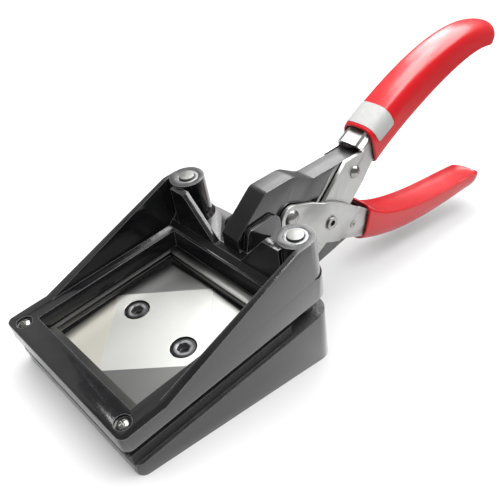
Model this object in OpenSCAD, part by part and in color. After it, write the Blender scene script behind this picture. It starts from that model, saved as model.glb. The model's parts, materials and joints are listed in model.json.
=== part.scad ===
// Hand-operated cutter for square identity photos: a punch and die head worked by plier levers.
// Millimetres, +Z up. The origin lies on the table, straight below the punch centre.
// The head leans on its wedge foot, so every piece is drawn in the leaning cutting frame:
// z = 0 is the upper face of the die, +y runs back to the handles and x = 0 is the middle plane.

/* [Stance] */
// Lean of the cutting frame over the table, in degrees
head_tilt = 11.8; // [11.2:0.1:12.4]
// Height of the die face over the table at the punch centre
die_height = 21.1; // [20.5:0.1:22.5]

/* [Punch and die] */
// Side of the square photo that is cut out
cut_size = 50; // [45:0.5:55]
// Gap for the photo paper between the die and the punch face
paper_gap = 1.2; // [1:0.1:1.4]
// Height of the punch from its foot to its face
punch_height = 8; // [7.5:0.1:9]
// Fall of the punch face from its middle diamond to each corner
corner_drop = 0.8; // [0.4:0.1:1.2]
// Thickness of the die plate
die_thick = 2.3; // [2:0.1:2.6]
// Height of the cutting land at the foot of the die opening
die_land = 1.1; // [0.8:0.1:1.4]
// Widening of the die opening above the land, per side
die_relief = 0.45; // [0.3:0.05:0.6]
// Cutting play between punch and die, per side
cut_play = 0.05; // [0.04:0.01:0.08]
// Set-back of the die plate from the sides of the upper casting
die_side_inset = 3.8; // [3.5:0.1:4.1]
// Set-back of the die plate from the front of the upper casting
die_front_inset = 1.5; // [1.4:0.1:2]

/* [Upper frame] */
// Width of the window rim beside the cut at each side
side_rim = 3.2; // [2.8:0.1:3.6]
// Width of the window rim beside the cut at the front
front_rim = 4.2; // [3.8:0.1:4.6]
// Width of the window rim beside the cut at the rear
rear_rim = 6; // [5.6:0.1:6.4]
// Width of the side rails outside the window
rail_w = 7.8; // [7.4:0.1:8.3]
// Width of the front bar
bar_w = 8.6; // [8.2:0.1:9.2]
// Plan radius of the front corners
front_r = 3; // [2:0.1:4]
// Height of the front bar and of the side rails
rail_h = 5.9; // [5.5:0.1:6.3]
// Inward slope of the window walls down to the die
window_taper = 1.3; // [0.9:0.1:1.5]
// Narrowing of the outer sides from the parting face to the top
side_draft = 0.8; // [0.5:0.1:0.9]
// Thickness of the side walls at their foot
wall_thick = 3.7; // [3.3:0.1:4.1]
// Lean of the inner wall faces over their height
wall_lean = 1; // [0.7:0.1:1.2]
// Distance behind the front where the side walls start to rise
wall_rise = 16.3; // [14:0.1:19]
// Length of the level wall tops ahead of the posts
wall_level = 6.2; // [5:0.1:7.5]
// Height of the rear deck
deck_h = 8; // [7.6:0.1:8.4]
// Gap between the window rim and the rear wall
rear_land = 3; // [2.8:0.1:3.4]
// Thickness of the rear wall
web_thick = 2.8; // [2.4:0.1:3.2]
// Depth of the rear wall's top below the boss tops
web_step = 0.8; // [0.6:0.1:1.4]
// Half width of the deck where the rear wall dips to it
web_near = 7.2; // [6.9:0.1:7.6]
// Distance inside the posts where the rear wall leaves its full height
web_run = 7.4; // [6.8:0.1:8]
// Slope at the foot of the rear wall
web_toe = 2; // [1.5:0.1:2.5]
// Bow of the rear edge beyond the corners
rear_bow = 1.2; // [0.8:0.1:1.6]

/* [Guides] */
// Distance of the guide posts from the sides of the castings
post_inset = 7.6; // [7.3:0.1:8]
// Distance of the guide posts behind the front of the rear wall
post_back = 8.2; // [7.9:0.1:8.6]
// Radius of the guide posts
post_r = 3; // [2.8:0.05:3.2]
// Height of the guide post ends over the bosses
post_proud = 0.8; // [0.4:0.1:1.6]
// Depth of the guide post feet below the die face
post_depth = 25; // [23:0.5:26]
// Top of the guide bosses
boss_top = 24.8; // [24:0.1:25.6]
// Wall of the guide bosses round the spring wells
boss_wall = 1.5; // [1.3:0.1:1.7]
// Widening of the guide bosses from their tops down to the die face
boss_draft = 0.8; // [0.6:0.1:0.9]
// Flare of the boss foot on the deck
foot_flare = 1.7; // [1.2:0.1:2.2]
// Height of the boss foot
foot_h = 2.4; // [2:0.1:3]
// Wall of the guide bushes
bush_wall = 1.3; // [1.1:0.1:1.6]
// Height of the guide bushes
bush_h = 11; // [10:0.5:12]
// Gap between the posts and the walls of the spring wells
well_gap = 2.1; // [2:0.05:2.3]
// Step of the post shoulders below the springs
shoulder_step = 0.5; // [0.4:0.05:0.7]
// Height of the post shoulders over the die face
shoulder_z = 0.6; // [0.2:0.1:1]
// Play of the spring seats in the wells
seat_play = 0.4; // [0.3:0.05:0.5]
// Thickness of the spring seats
seat_h = 0.8; // [0.6:0.1:1]
// Distance of the spring wire from the rim of its seat
wire_rim = 0.25; // [0.2:0.05:0.3]
// Wire thickness of the springs
wire_d = 0.9; // [0.8:0.05:1]
// Coils of each spring
spring_turns = 5; // [4:1:5]

/* [Lower frame] */
// Set-back of the lower casting from the front of the upper one
lower_setback = 1.3; // [0.6:0.1:1.4]
// Clearance of the closed die over the punch bed
bed_clear = 0.5; // [0.4:0.1:0.9]
// Clearance of the closed upper casting over the side fences
fence_clear = 0.4; // [0.35:0.05:0.8]
// Height of the punch bed over the lower deck
bed_rise = 2.3; // [2:0.1:2.6]
// Set-back of the side fences from the sides of the castings
fence_inset = 1.4; // [1:0.1:1.8]
// Thickness of the side fences
fence_thick = 1.6; // [1.3:0.1:1.7]
// Distance of the fence ends ahead of the posts
fence_short = 11.4; // [10.8:0.1:12.2]
// Reach of the lower casting behind the upper one
lower_step = 0.5; // [0.2:0.1:0.9]
// Thickness of the lower deck over its jaw plate
lower_deck_thick = 7.1; // [6.6:0.1:7.6]
// Radius of the rear lower edge of the wedge
heel_r = 6; // [4:0.5:7]
// Radius of the front lower edge of the wedge
toe_r = 1.2; // [0.8:0.1:1.6]

/* [Jaws] */
// Half thickness of both jaw plates
jaw_half = 4.3; // [4.1:0.05:4.5]
// Thickness of the neck cheeks
cheek_wall = 2.1; // [1.9:0.1:2.5]
// Start of the neck behind the front of the rear wall
cheek_back = 2; // [1.6:0.1:2.4]
// Reach of the neck cheeks behind the deck
cheek_reach = 4.7; // [4.2:0.1:5.2]
// Height of the neck cheeks from the die face
cheek_top = 16.2; // [15.5:0.1:16.8]
// Backward slope of the cheek fronts over their height
cheek_slope = 4.4; // [4:0.1:4.8]
// Radius at the rear corner of the cheeks
cheek_r = 4; // [3:0.5:5]
// Set-back of the jaw plates in the neck
jaw_set = 0.5; // [0.4:0.1:1]
// Gap between the decks and the jaws behind them
jaw_seat_gap = 1; // [0.8:0.1:1.2]
// Half gap between the jaw plates ahead of the main pivot
jaw_gap = 1.9; // [1.85:0.05:2.1]
// Height of the jaw noses on the decks
nose_h = 5.6; // [5:0.1:6.2]
// Height of the upper jaw's hump over its front pivot
hump_h = 16.5; // [15.5:0.1:17.5]
// Reach of the hump ahead of the front pivot
hump_front = 9.4; // [9:0.1:10]
// Reach of the humps of both jaws behind the front pivots
hump_rear = 4.9; // [4.4:0.1:5.4]
// Fall of the upper hump over its length
hump_fall = 0.8; // [0.4:0.1:1.2]
// Reach of the jaw waists behind the front pivots
waist_run = 14; // [13.4:0.1:14.6]
// Height of the upper jaw's waist over its front pivot
waist_h = 9.5; // [9:0.1:10]
// Depth of the lower jaw's belly under its front pivot
belly_h = 14.1; // [13.4:0.1:14.6]
// Reach of the belly ahead of the front pivot
belly_front = 10.7; // [10:0.1:11.2]
// Depth of the lower jaw's waist under its front pivot
lower_waist_h = 7.1; // [6.8:0.1:7.6]
// Reach of the upper jaw's tail behind its slide pin
upper_tail = 7.3; // [6.8:0.1:7.6]
// Reach of the lower jaw's tail behind its slide pin
lower_tail = 6.4; // [6:0.1:6.6]
// Height of the jaw tails beyond the slide pins, away from the main pivot
tail_outer = 6; // [5.7:0.1:6.4]
// Height of the jaw tails beyond the slide pins, towards the main pivot
tail_inner = 5; // [4.6:0.1:5.4]
// Radius of the tail corners
tail_r = 4; // [3:0.5:4.5]
// Radius at the front of the humps
hump_r = 3; // [2:0.5:4]
// Radius at the rear of the humps
hump_back_r = 8; // [6:0.5:9]
// Radius in the waists
waist_r = 6; // [5:0.5:7]
// Radius of the small corners of the jaws
jaw_r = 1; // [0.8:0.1:1.2]
// Start of the narrow jaw gap ahead of the main pivot
gap_front = 4.6; // [4.2:0.1:5]
// Start of the jaw tails behind the main pivot
gap_rear = 2.4; // [2:0.1:2.8]
// Gap between the spacer sleeve and the jaws round it
notch_gap = 2.7; // [2.5:0.1:3]

/* [Linkage] */
// Main pivot below the die face
pivot_drop = 3.8; // [3.6:0.1:4]
// Distance of the front pivots ahead of the main pivot
link_run = 18.9; // [18.5:0.1:19.3]
// Distance of the front pivots above and below the main pivot
link_rise = 12.7; // [12.4:0.1:13]
// Upper slide pin behind the main pivot
upper_pin_run = 16.9; // [16.5:0.1:17.3]
// Upper slide pin above the main pivot
upper_pin_rise = 14.2; // [13.8:0.1:14.6]
// Lower slide pin behind the main pivot
lower_pin_run = 15; // [14.8:0.1:15.6]
// Lower slide pin below the main pivot
lower_pin_rise = 11.2; // [10.8:0.1:11.6]
// Squeeze of each handle, in degrees
squeeze = 5; // [4:0.1:5.2]

/* [Handles] */
// Thickness of the lever sheet
sheet = 1.5; // [1.4:0.05:1.6]
// Clear gap between jaw plates and lever plates
plate_gap = 0.4; // [0.35:0.05:0.45]
// Clear gap between the crossing lever plates
cross_gap = 0.3; // [0.3:0.05:0.4]
// Radius of the lever ends round the front pivots
lever_end_r = 5.5; // [5.2:0.1:5.8]
// Clearance of the lever ends behind the neck
lever_clear = 0.5; // [0.4:0.1:1]
// Half width of the upper lever at the main pivot
upper_lever_half = 8.6; // [8.2:0.1:8.8]
// Bend radius of the channel at the back of the upper lever
channel_r = 3; // [2.7:0.1:3.3]
// Reach of the channel ahead of the start of the grip curve
channel_front = 0.8; // [0.4:0.1:1.2]
// Length of the channel behind the start of the grip curve
channel_len = 14; // [13:0.5:15]
// Depth of the open mouth of the upper grip under its middle
mouth_depth = 3; // [2.5:0.1:3.3]
// Half width of the lower lever at the main pivot
lower_lever_half = 9; // [8.6:0.1:9.2]
// Margin of the raised crossing field ahead of the upper lever
field_ahead = 3; // [2.8:0.1:3.4]
// Margin of the raised crossing field behind the upper lever
field_behind = 3.8; // [3.4:0.1:4.2]
// Width of the sloped bends beside the raised field
bend_run = 3.6; // [3:0.1:4]
// Radius of the bowed upper edge of the lower lever
crown_r = 40; // [36:1:44]
// Radius of the hollow under the lower lever
hollow_r = 8; // [6:0.5:9]

/* [Grips] */
// Thickness of the vinyl beside the lever plates
grip_wall = 1.6; // [1.5:0.1:2]
// Half height of the upper grip at its front
upper_grip_half = 8.5; // [8.3:0.1:8.9]
// Half height of the lower grip at its front
lower_grip_half = 8.6; // [8.2:0.1:9]
// Swell of the upper grip in the middle of its length
upper_belly = 1.8; // [1.4:0.1:2]
// Swell of the lower grip in the middle of its length
lower_belly = 0.3; // [0.1:0.1:0.5]
// Half height lost towards the grip tips
tip_lower = 2.2; // [1.8:0.1:2.4]
// Half width lost towards the grip tips
tip_narrow = 0.6; // [0.4:0.1:0.9]
// Length of the upper grip along the table
upper_grip_len = 96; // [90:1:100]
// Length of the lower grip along the table
lower_grip_len = 96.5; // [90:0.5:100]
// Start of the upper grip curve behind its slide pin
upper_grip_run = 7; // [6.6:0.1:7.4]
// Start of the upper grip curve above its slide pin
upper_grip_rise = 4; // [3.6:0.1:4.4]
// Start of the lower grip curve behind its slide pin
lower_grip_run = 5.9; // [5.6:0.1:6.2]
// Start of the lower grip curve below its slide pin
lower_grip_rise = 3.1; // [2.8:0.1:3.4]
// Lip of the upper grip behind the start of its curve
upper_lip_back = 3.8; // [3.4:0.1:4.4]
// Lip of the lower grip behind the start of its curve
lower_lip_back = 2.2; // [2:0.1:2.8]
// Height of the rims beside the finger groove lost towards the grip tips
rim_drop = 5; // [4.6:0.1:5.4]
// Depth of the finger groove on the inner side of the grips
groove = 4.5; // [4.2:0.1:4.8]
// Squareness of the inner half of the grip section, lower is squarer
section_power = 0.4; // [0.36:0.01:0.44]
// Squareness of the back half of the grip section, lower is squarer
back_power = 0.64; // [0.6:0.01:0.68]
// Vinyl over the edges of the lever plates
tang_cover = 0.5; // [0.4:0.1:0.8]
// Narrowing of the hidden lever plates towards the tips
tang_narrow = 2.4; // [2.2:0.1:2.6]
// Thickness of the size label
label_thick = 0.2; // [0.15:0.05:0.3]
// Length of the size label along the grip
label_len = 10; // [9:0.5:11]
// Height of the lower edges of the size label over the middle of the grip
label_low = 0.5; // [0.2:0.1:1.5]

/* [Fasteners] */
// Distance of the punch screws from the middle plane
punch_screw_x = 13.6; // [13:0.1:14.5]
// Thread radius of the punch screws
punch_thread_r = 2.5; // [2.3:0.1:2.6]
// Rim of the punch screw heads round the thread
punch_head_rim = 1.75; // [1.6:0.05:1.9]
// Head height of the punch screws
punch_head_h = 4.6; // [4.2:0.1:4.8]
// Gap round the punch screw heads
punch_head_gap = 0.45; // [0.3:0.05:0.6]
// Die screws inside the sides of the upper casting
die_screw_inset = 5.8; // [5.6:0.1:6]
// Front die screws behind the front of the upper casting
die_screw_bar = 4.4; // [4.2:0.1:4.7]
// Rear die screws ahead of the rear edge of the die plate
die_screw_edge = 2.6; // [2.5:0.1:2.9]
// Thread radius of the die screws
die_thread_r = 1.25; // [1.2:0.05:1.3]
// Head radius of the front die screws
pan_r = 2.2; // [2:0.05:2.4]
// Gap round the heads of the front die screws
pan_gap = 0.6; // [0.4:0.1:0.7]
// Head height of the front die screws
pan_h = 1.5; // [1.4:0.1:1.7]
// Depth of the recesses under the front die screws
pan_seat = 1.2; // [1:0.1:1.4]
// Second jaw screw ahead of the rear edge of the deck
jaw_screw_edge = 3.6; // [3.4:0.1:4]
// Distance between the two screws of a jaw
jaw_screw_pitch = 6.4; // [6.2:0.1:7]
// Thread radius of the jaw screws
jaw_thread_r = 1.5; // [1.4:0.05:1.6]
// Rim of the jaw screw heads round the thread
jaw_head_rim = 1.25; // [1.15:0.05:1.3]
// Head height of the jaw screws
jaw_head_h = 3; // [2.8:0.1:3.2]
// Thread length of the jaw screws in the jaw plates
jaw_thread_len = 4.6; // [4:0.1:5]
// Radius of the front pivot rivets
rivet_r = 2.5; // [2.3:0.05:2.6]
// Rim of the rivet heads round the shank
rivet_rim = 1.1; // [0.9:0.1:1.3]
// Height of the domed rivet heads
rivet_head_h = 1.7; // [1.5:0.1:1.9]
// Radius of the upper slide pin
upper_pin_r = 2; // [1.9:0.05:2.1]
// Rim of the domed heads of the upper slide pin
upper_pin_rim = 0.8; // [0.7:0.1:1]
// Radius of the lower slide pin
lower_pin_r = 1.6; // [1.5:0.05:1.7]
// Shank radius of the hollow main rivet
main_r = 2.2; // [2.1:0.05:2.3]
// Rim of the collars of the hollow main rivet
main_rim = 0.6; // [0.5:0.05:0.8]
// Collar thickness of the hollow main rivet
main_collar_h = 0.6; // [0.5:0.05:0.8]
// Wall of the hollow main rivet
main_wall = 0.95; // [0.8:0.05:1.1]
// Wall of the spacer sleeve on the main rivet
spacer_wall = 1; // [0.8:0.05:1.1]

/* [Fits] */
// Radial gap of seated pieces that do not move
seat_fit = 0.03; // [0.02:0.01:0.05]
// Radial gap of running pins and posts
run_fit = 0.05; // [0.03:0.01:0.08]
// Radial gap of the front pivot that takes up the travel of the linkage
link_fit = 0.2; // [0.15:0.05:0.25]

/* [Hidden] */
$fn = 48;
black = [0.07, 0.07, 0.08];
steel = [0.75, 0.75, 0.74];
ground = [0.86, 0.86, 0.84];
dark_steel = [0.12, 0.12, 0.13];
red = [0.83, 0.07, 0.1];
white = [0.95, 0.95, 0.93];
// Clear gap of cuts and recesses, over-run of cuts and a length beyond every piece
slack = 0.2;
over = 1;
far = 200;
// Steps of rounded corners, hidden plates, grips and coils
arc_steps = 8;
tang_steps = 8;
grip_rings = 14;
tip_rings = 6;
ring_points = 32;
coil_rings = 8;
coil_sides = 6;
// First steps of the channel backs of the two levers
upper_back_from = 1;
lower_back_from = 1;
// Shares of a height: lever plates in the grips, grip rims and groove over the plates, swell at the rims
tang_share = 0.8;
rim_share = 0.92;
groove_share = 0.87;
rim_swell = 1.7;
// Shares of a length: lever plates in the grips, start of the groove, grip tips, label place,
// plates in the channel
tang_end = 0.74;
groove_run = 0.25;
tip_start = 0.88;
tip_floor = 0.02;
label_start = 0.07;
channel_share = 0.5;
// Shares of a radius or a height: sockets, cross recesses, countersinks, hollow pin ends
socket_share = 0.55;
cross_reach = 0.6;
cross_half = 0.13;
cross_floor = 0.45;
sink_spread = 1.6;
sink_depth = 0.9;
pin_hollow = 0.45;
// Angles on the lower lever and of the grip lips
crown_turn = 60;
belly_turn = 231.7;
nose_turn = 225;
brow_turn = 76;
upper_lip_turn = -79.6;
lower_lip_turn = -108;
// Course of the grips as shares of their length
upper_bend = [[0, 0], [0.3177, 0.149], [0.7656, 0.28], [0.968, 0.124]];
lower_bend = [[0, 0], [0.3264, -0.215], [0.7306, -0.205], [1, -0.284]];
// The castings across the middle plane
window_half = cut_size / 2 + side_rim;
frame_half = window_half + rail_w;
die_half = frame_half - die_side_inset;
wall_in = frame_half - wall_thick;
post_x = frame_half - post_inset;
web_far = post_x - web_run;
fence_out = frame_half - fence_inset;
fence_in = fence_out - fence_thick;
die_screw_x = frame_half - die_screw_inset;
// The castings from front to rear
window_front = cut_size / 2 + front_rim;
upper_front = window_front + bar_w;
lower_front = upper_front - lower_setback;
die_front = upper_front - die_front_inset;
die_screw_front = upper_front - die_screw_bar;
window_rear = cut_size / 2 + rear_rim;
die_rear = window_rear;
die_screw_rear = die_rear - die_screw_edge;
web_front = window_rear + rear_land;
post_y = web_front + post_back;
wall_start = wall_rise - upper_front;
wall_full = post_y - wall_level;
fence_rear = post_y - fence_short;
deck_rear = post_y + post_inset + rear_bow;
lower_rear = deck_rear + lower_step;
cheek_front = web_front + cheek_back;
cheek_rear = deck_rear + cheek_reach;
jaw_front = cheek_front + jaw_set;
jaw_seat_rear = deck_rear + jaw_seat_gap;
jaw_screw_b = deck_rear - jaw_screw_edge;
jaw_screw_a = jaw_screw_b - jaw_screw_pitch;
// The linkage in the middle plane
pivot_y = cheek_rear + lever_clear + lever_end_r + link_run;
pivot_z = -pivot_drop;
pivot = [pivot_y, pivot_z];
upper_pivot = pivot + [-link_run, link_rise];
lower_pivot = pivot + [-link_run, -link_rise];
upper_pin = pivot + [upper_pin_run, upper_pin_rise];
lower_pin = pivot + [lower_pin_run, -lower_pin_rise];
lever_angle = atan2(link_rise, link_run);
stroke = 2 * link_run * sin(squeeze) + 2 * link_rise * (1 - cos(squeeze));
upper_pin_end = lower_pivot + turned(upper_pin - lower_pivot, -squeeze) + [0, stroke];
lower_pin_end = lower_pivot + turned(pivot - lower_pivot, -squeeze) + turned(lower_pin - pivot, squeeze);
// Heights and depths of the head
punch_drop = die_thick + paper_gap;
punch_foot = punch_drop + punch_height;
bed_drop = die_thick + stroke + bed_clear;
fence_drop = stroke + fence_clear;
lower_deck = bed_drop + bed_rise;
lower_jaw_top = -lower_deck - lower_deck_thick;
cheek_low = 2 * pivot_z - cheek_top;
web_top = boss_top - web_step;
post_top = boss_top + post_proud;
well_top = boss_top - bush_h;
spring_low = shoulder_z + seat_h;
spring_high = well_top;
// Radii that follow others
bush_r = post_r + bush_wall;
shoulder_r = post_r + shoulder_step;
well_r = post_r + well_gap;
boss_r = well_r + boss_wall;
foot_r = boss_r + foot_flare;
seat_r = well_r - seat_play;
spring_r = seat_r - wire_rim - wire_d / 2;
punch_head_r = punch_thread_r + punch_head_rim;
jaw_head_r = jaw_thread_r + jaw_head_rim;
rivet_head_r = rivet_r + rivet_rim;
upper_pin_head_r = upper_pin_r + upper_pin_rim;
main_collar_r = main_r + main_rim;
main_bore_r = main_r - main_wall;
spacer_r = main_r + spacer_wall;
notch_r = spacer_r + notch_gap;
// The lever sheets and grips
cheek_out = jaw_half + cheek_wall;
plate_in = jaw_half + plate_gap;
plate_out = plate_in + sheet;
field_in = plate_out + cross_gap;
field_out = field_in + sheet;
field_front = upper_lever_half + field_ahead;
field_rear = upper_lever_half + field_behind;
grip_half = plate_out + grip_wall;
upper_grip_at = upper_pin + [upper_grip_run, upper_grip_rise];
lower_grip_at = lower_pin + [lower_grip_run, -lower_grip_rise];
upper_path = [for (p = upper_bend) upper_grip_at + upper_grip_len * p];
lower_path = [for (p = lower_bend) lower_grip_at + lower_grip_len * p];

function turned(v, a) = [v[0] * cos(a) - v[1] * sin(a), v[0] * sin(a) + v[1] * cos(a)];
function unit(v) = v / norm(v);
function floor_z(y) = -(die_height + y * sin(head_tilt)) / cos(head_tilt);
function wrap(a) = a > 180 ? a - 360 : a < -180 ? a + 360 : a;
function on_arc(c, r, a) = c + r * [cos(a), sin(a)];
function blend_arc(c, r, a, turn) = [for (i = [0 : arc_steps]) on_arc(c, r, a + turn * i / arc_steps)];
function corner(p, q, s, r) = let (
        u = unit(p - q),
        w = unit(s - q),
        half = acos(u * w) / 2,
        c = q + unit(u + w) * r / sin(half),
        a = q + u * r / tan(half) - c,
        b = q + w * r / tan(half) - c,
        start = atan2(a[1], a[0])
    ) blend_arc(c, r, start, wrap(atan2(b[1], b[0]) - start));
function flat(p) = [p[0], p[1]];
function rounded(pts) = let (n = len(pts)) [for (i = [0 : n - 1]) each pts[i][2] == 0
    ? [flat(pts[i])]
    : corner(flat(pts[(i + n - 1) % n]), flat(pts[i]), flat(pts[(i + 1) % n]), pts[i][2])];
function path_at(p, t) = p[0] * pow(1 - t, 3) + p[1] * 3 * t * pow(1 - t, 2)
    + p[2] * 3 * t * t * (1 - t) + p[3] * pow(t, 3);
function path_dir(p, t) = unit((p[1] - p[0]) * pow(1 - t, 2) + (p[2] - p[1]) * 2 * t * (1 - t)
    + (p[3] - p[2]) * t * t);
function path_side(p, t, off) = path_at(p, t) + off * [-path_dir(p, t)[1], path_dir(p, t)[0]];
function signed_pow(v, k) = v < 0 ? -pow(-v, k) : pow(v, k);

// Sets a piece drawn in the cutting frame down on the table
module placed() {
    translate([0, 0, die_height])
        rotate([head_tilt, 0, 0])
            children();
}

// Extrudes a (y, z) outline along x
module along_x(x0, x1) {
    translate([x0, 0, 0])
        rotate([90, 0, 90])
            linear_extrude(x1 - x0)
                children();
}

// Extrudes an (x, z) outline along y
module along_y(y0, y1) {
    translate([0, y1, 0])
        rotate([90, 0, 0])
            linear_extrude(y1 - y0)
                children();
}

// A round bar along x through the (y, z) point
module bar_x(at, r, x0, x1) {
    translate([x0, at[0], at[1]])
        rotate([0, 90, 0])
            cylinder(r = r, h = x1 - x0);
}

// Repeats a piece on both sides of the middle plane
module both() {
    children();
    mirror([1, 0, 0])
        children();
}

// Places a piece at each of a list of positions
module each_at(spots) {
    for (p = spots)
        translate(p)
            children();
}

module post_spots(z) {
    each_at([[-post_x, post_y, z], [post_x, post_y, z]])
        children();
}

// Plan outline of both castings: square front, round rear corners about the posts, bowed rear edge
module frame_plan(front, rear) {
    half = frame_half;
    turn_r = half - post_x;
    back = rear - post_y;
    bow_r = (post_x * post_x + back * back - turn_r * turn_r) / (2 * (back - turn_r));
    swing = atan2(post_x, bow_r - back);
    bow = blend_arc([0, rear - bow_r], bow_r, 90 - swing, 2 * swing);
    polygon(concat(
        corner([-half, post_y], [-half, -front], [half, -front], front_r),
        corner([-half, -front], [half, -front], [half, post_y], front_r),
        blend_arc([post_x, post_y], turn_r, 0, 90 - swing),
        [for (i = [1 : arc_steps - 1]) bow[i]],
        blend_arc([-post_x, post_y], turn_r, 90 + swing, 90 - swing)));
}

// Domed head with a cross recess, seated on z = 0
module pan_head(r, h) {
    dome = (r * r + h * h) / (2 * h);
    difference() {
        intersection() {
            cylinder(r = r, h = h);
            translate([0, 0, h - dome])
                sphere(dome, $fn = 96);
        }
        for (a = [0, 90])
            rotate([0, 0, a])
                translate([-r * cross_reach, -r * cross_half, h * cross_floor])
                    cube([2 * r * cross_reach, 2 * r * cross_half, h]);
    }
}

// Socket head cap screw: head top on z = 0, shank downwards
module cap_screw(head_r, head_h, thread_r, length) {
    difference() {
        translate([0, 0, -head_h])
            cylinder(r = head_r, h = head_h);
        translate([0, 0, -head_h * socket_share])
            cylinder(r = head_r * socket_share, h = head_h, $fn = 6);
    }
    translate([0, 0, -head_h - length])
        cylinder(r = thread_r, h = length + slack);
}

// Half outline of a rivet with a dome at each end, to be turned about its axis
module rivet_outline(r, head_r, head_h, half) {
    dome = (head_r * head_r + head_h * head_h) / (2 * head_h);
    translate([0, -half])
        square([r, 2 * half]);
    for (end = [0, 1])
        mirror([0, end])
            translate([0, half])
                intersection() {
                    square([head_r, head_h]);
                    translate([0, head_h - dome])
                        circle(dome);
                }
}

// Tapered window space through the upper casting, longer than the rail height at both ends
module window_space() {
    slope = over * window_taper / rail_h;
    low = window_half - window_taper - slope;
    high = window_half + slope;
    top = rail_h + over;
    intersection() {
        along_y(-far, far)
            polygon([[-low, -over], [low, -over], [high, top], [-high, top]]);
        along_x(-far, far)
            polygon([[-window_front + window_taper + slope, -over],
                [window_rear - window_taper - slope, -over],
                [window_rear + slope, top],
                [-window_front - slope, top]]);
    }
}

// One rising side wall of the upper casting
module side_wall() {
    intersection() {
        along_y(wall_start, post_y)
            polygon([[wall_in, 0], [frame_half, 0], [frame_half, boss_top], [wall_in + wall_lean, boss_top],
                [wall_in, rail_h]]);
        along_x(wall_in - over, frame_half + over)
            polygon([[wall_start, 0], [post_y, 0], [post_y, boss_top], [wall_full, boss_top],
                [wall_start, rail_h]]);
    }
}

// Neck cheeks beside a jaw plate, from a deck at one height to their free edge at another
module cheeks(from, to) {
    both()
        along_x(jaw_half + seat_fit, cheek_out)
            polygon(rounded([[cheek_front, from, 0], [cheek_rear, from, 0], [cheek_rear, to, cheek_r],
                [cheek_front + cheek_slope, to, cheek_r / 2]]));
}

module upper_frame_body() {
    intersection() {
        union() {
            linear_extrude(rail_h)
                frame_plan(upper_front, deck_rear);
            intersection() {
                linear_extrude(deck_h)
                    frame_plan(upper_front, deck_rear);
                translate([-far, web_front, 0])
                    cube([2 * far, far, far]);
            }
            both()
                side_wall();
            both()
                along_y(web_front, web_front + web_thick)
                    polygon([[web_near, 0], [post_x, 0], [post_x, web_top], [web_far, web_top],
                        [web_near, deck_h]]);
            along_x(-wall_in, wall_in)
                polygon([[web_front - web_toe, 0], [web_front, 0], [web_front, rail_h + web_toe],
                    [web_front - web_toe, rail_h]]);
            intersection() {
                post_spots(0) {
                    cylinder(r1 = boss_r + boss_draft, r2 = boss_r, h = boss_top);
                    translate([0, 0, deck_h])
                        cylinder(r1 = foot_r, r2 = boss_r, h = foot_h);
                }
                linear_extrude(boss_top)
                    frame_plan(upper_front, deck_rear);
            }
        }
        along_y(-far, far)
            polygon([[-frame_half, 0], [frame_half, 0], [frame_half - side_draft, boss_top],
                [-frame_half + side_draft, boss_top]]);
    }
    cheeks(0, cheek_top);
}

module upper_frame() {
    color(black) placed() difference() {
        upper_frame_body();
        window_space();
        post_spots(well_top - slack)
            cylinder(r = bush_r + seat_fit, h = far);
        post_spots(-slack)
            cylinder(r = well_r, h = well_top + slack);
        each_at([[-die_screw_x, -die_screw_front, 0], [die_screw_x, -die_screw_front, 0]]) {
            translate([0, 0, -slack])
                cylinder(r = die_thread_r + seat_fit, h = far);
            translate([0, 0, rail_h - pan_seat])
                cylinder(r = pan_r + pan_gap, h = far);
        }
        each_at([[-die_screw_x, die_screw_rear, -slack], [die_screw_x, die_screw_rear, -slack]])
            cylinder(r = die_thread_r + seat_fit, h = rail_h - over);
        each_at([[0, jaw_screw_a, -slack], [0, jaw_screw_b, -slack]]) {
            cylinder(r = jaw_head_r + slack, h = jaw_head_h + 2 * slack);
            cylinder(r = jaw_thread_r + slack, h = far);
        }
    }
}

module die_plate() {
    inner = cut_size / 2 + cut_play;
    outer = inner + die_relief;
    color(ground) placed() difference() {
        translate([-die_half, -die_front, -die_thick])
            cube([2 * die_half, die_front + die_rear, die_thick]);
        translate([-inner, -inner, -die_thick - slack])
            cube([2 * inner, 2 * inner, far]);
        translate([-outer, -outer, die_land - die_thick])
            cube([2 * outer, 2 * outer, far]);
        each_at([[-die_screw_x, -die_screw_front, -far / 2], [die_screw_x, -die_screw_front, -far / 2],
            [-die_screw_x, die_screw_rear, -far / 2], [die_screw_x, die_screw_rear, -far / 2]])
            cylinder(r = die_thread_r + seat_fit, h = far);
        each_at([[-die_screw_x, die_screw_rear, -die_thick], [die_screw_x, die_screw_rear, -die_thick]])
            sunk_cone(seat_fit);
    }
}

// Cone of a countersunk head, wide end on z = 0
module sunk_cone(grow) {
    cylinder(r1 = die_thread_r * sink_spread + grow, r2 = die_thread_r + grow, h = die_thread_r * sink_depth);
}

module die_front_screws() {
    seat = rail_h - pan_seat;
    color(steel) placed()
        each_at([[-die_screw_x, -die_screw_front, seat], [die_screw_x, -die_screw_front, seat]]) {
            pan_head(pan_r, pan_h);
            translate([0, 0, slack - seat - die_thick])
                cylinder(r = die_thread_r, h = seat + die_thick);
        }
}

module die_rear_screws() {
    color(steel) placed()
        each_at([[-die_screw_x, die_screw_rear, -die_thick], [die_screw_x, die_screw_rear, -die_thick]])
            difference() {
                union() {
                    sunk_cone(0);
                    cylinder(r = die_thread_r, h = die_thick + rail_h - 2 * over);
                }
                for (a = [0, 90])
                    rotate([0, 0, a])
                        translate([-die_thread_r, -slack, -slack])
                            cube([2 * die_thread_r, 2 * slack, 4 * slack]);
            }
}

module guide_bushes() {
    color(dark_steel) placed()
        post_spots(well_top)
            difference() {
                cylinder(r = bush_r, h = bush_h);
                translate([0, 0, -slack])
                    cylinder(r = post_r + run_fit, h = far);
            }
}

module guide_posts() {
    color(steel) placed()
        post_spots(-post_depth) {
            cylinder(r = post_r, h = post_depth + post_top);
            cylinder(r = shoulder_r, h = post_depth + shoulder_z);
        }
}

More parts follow.
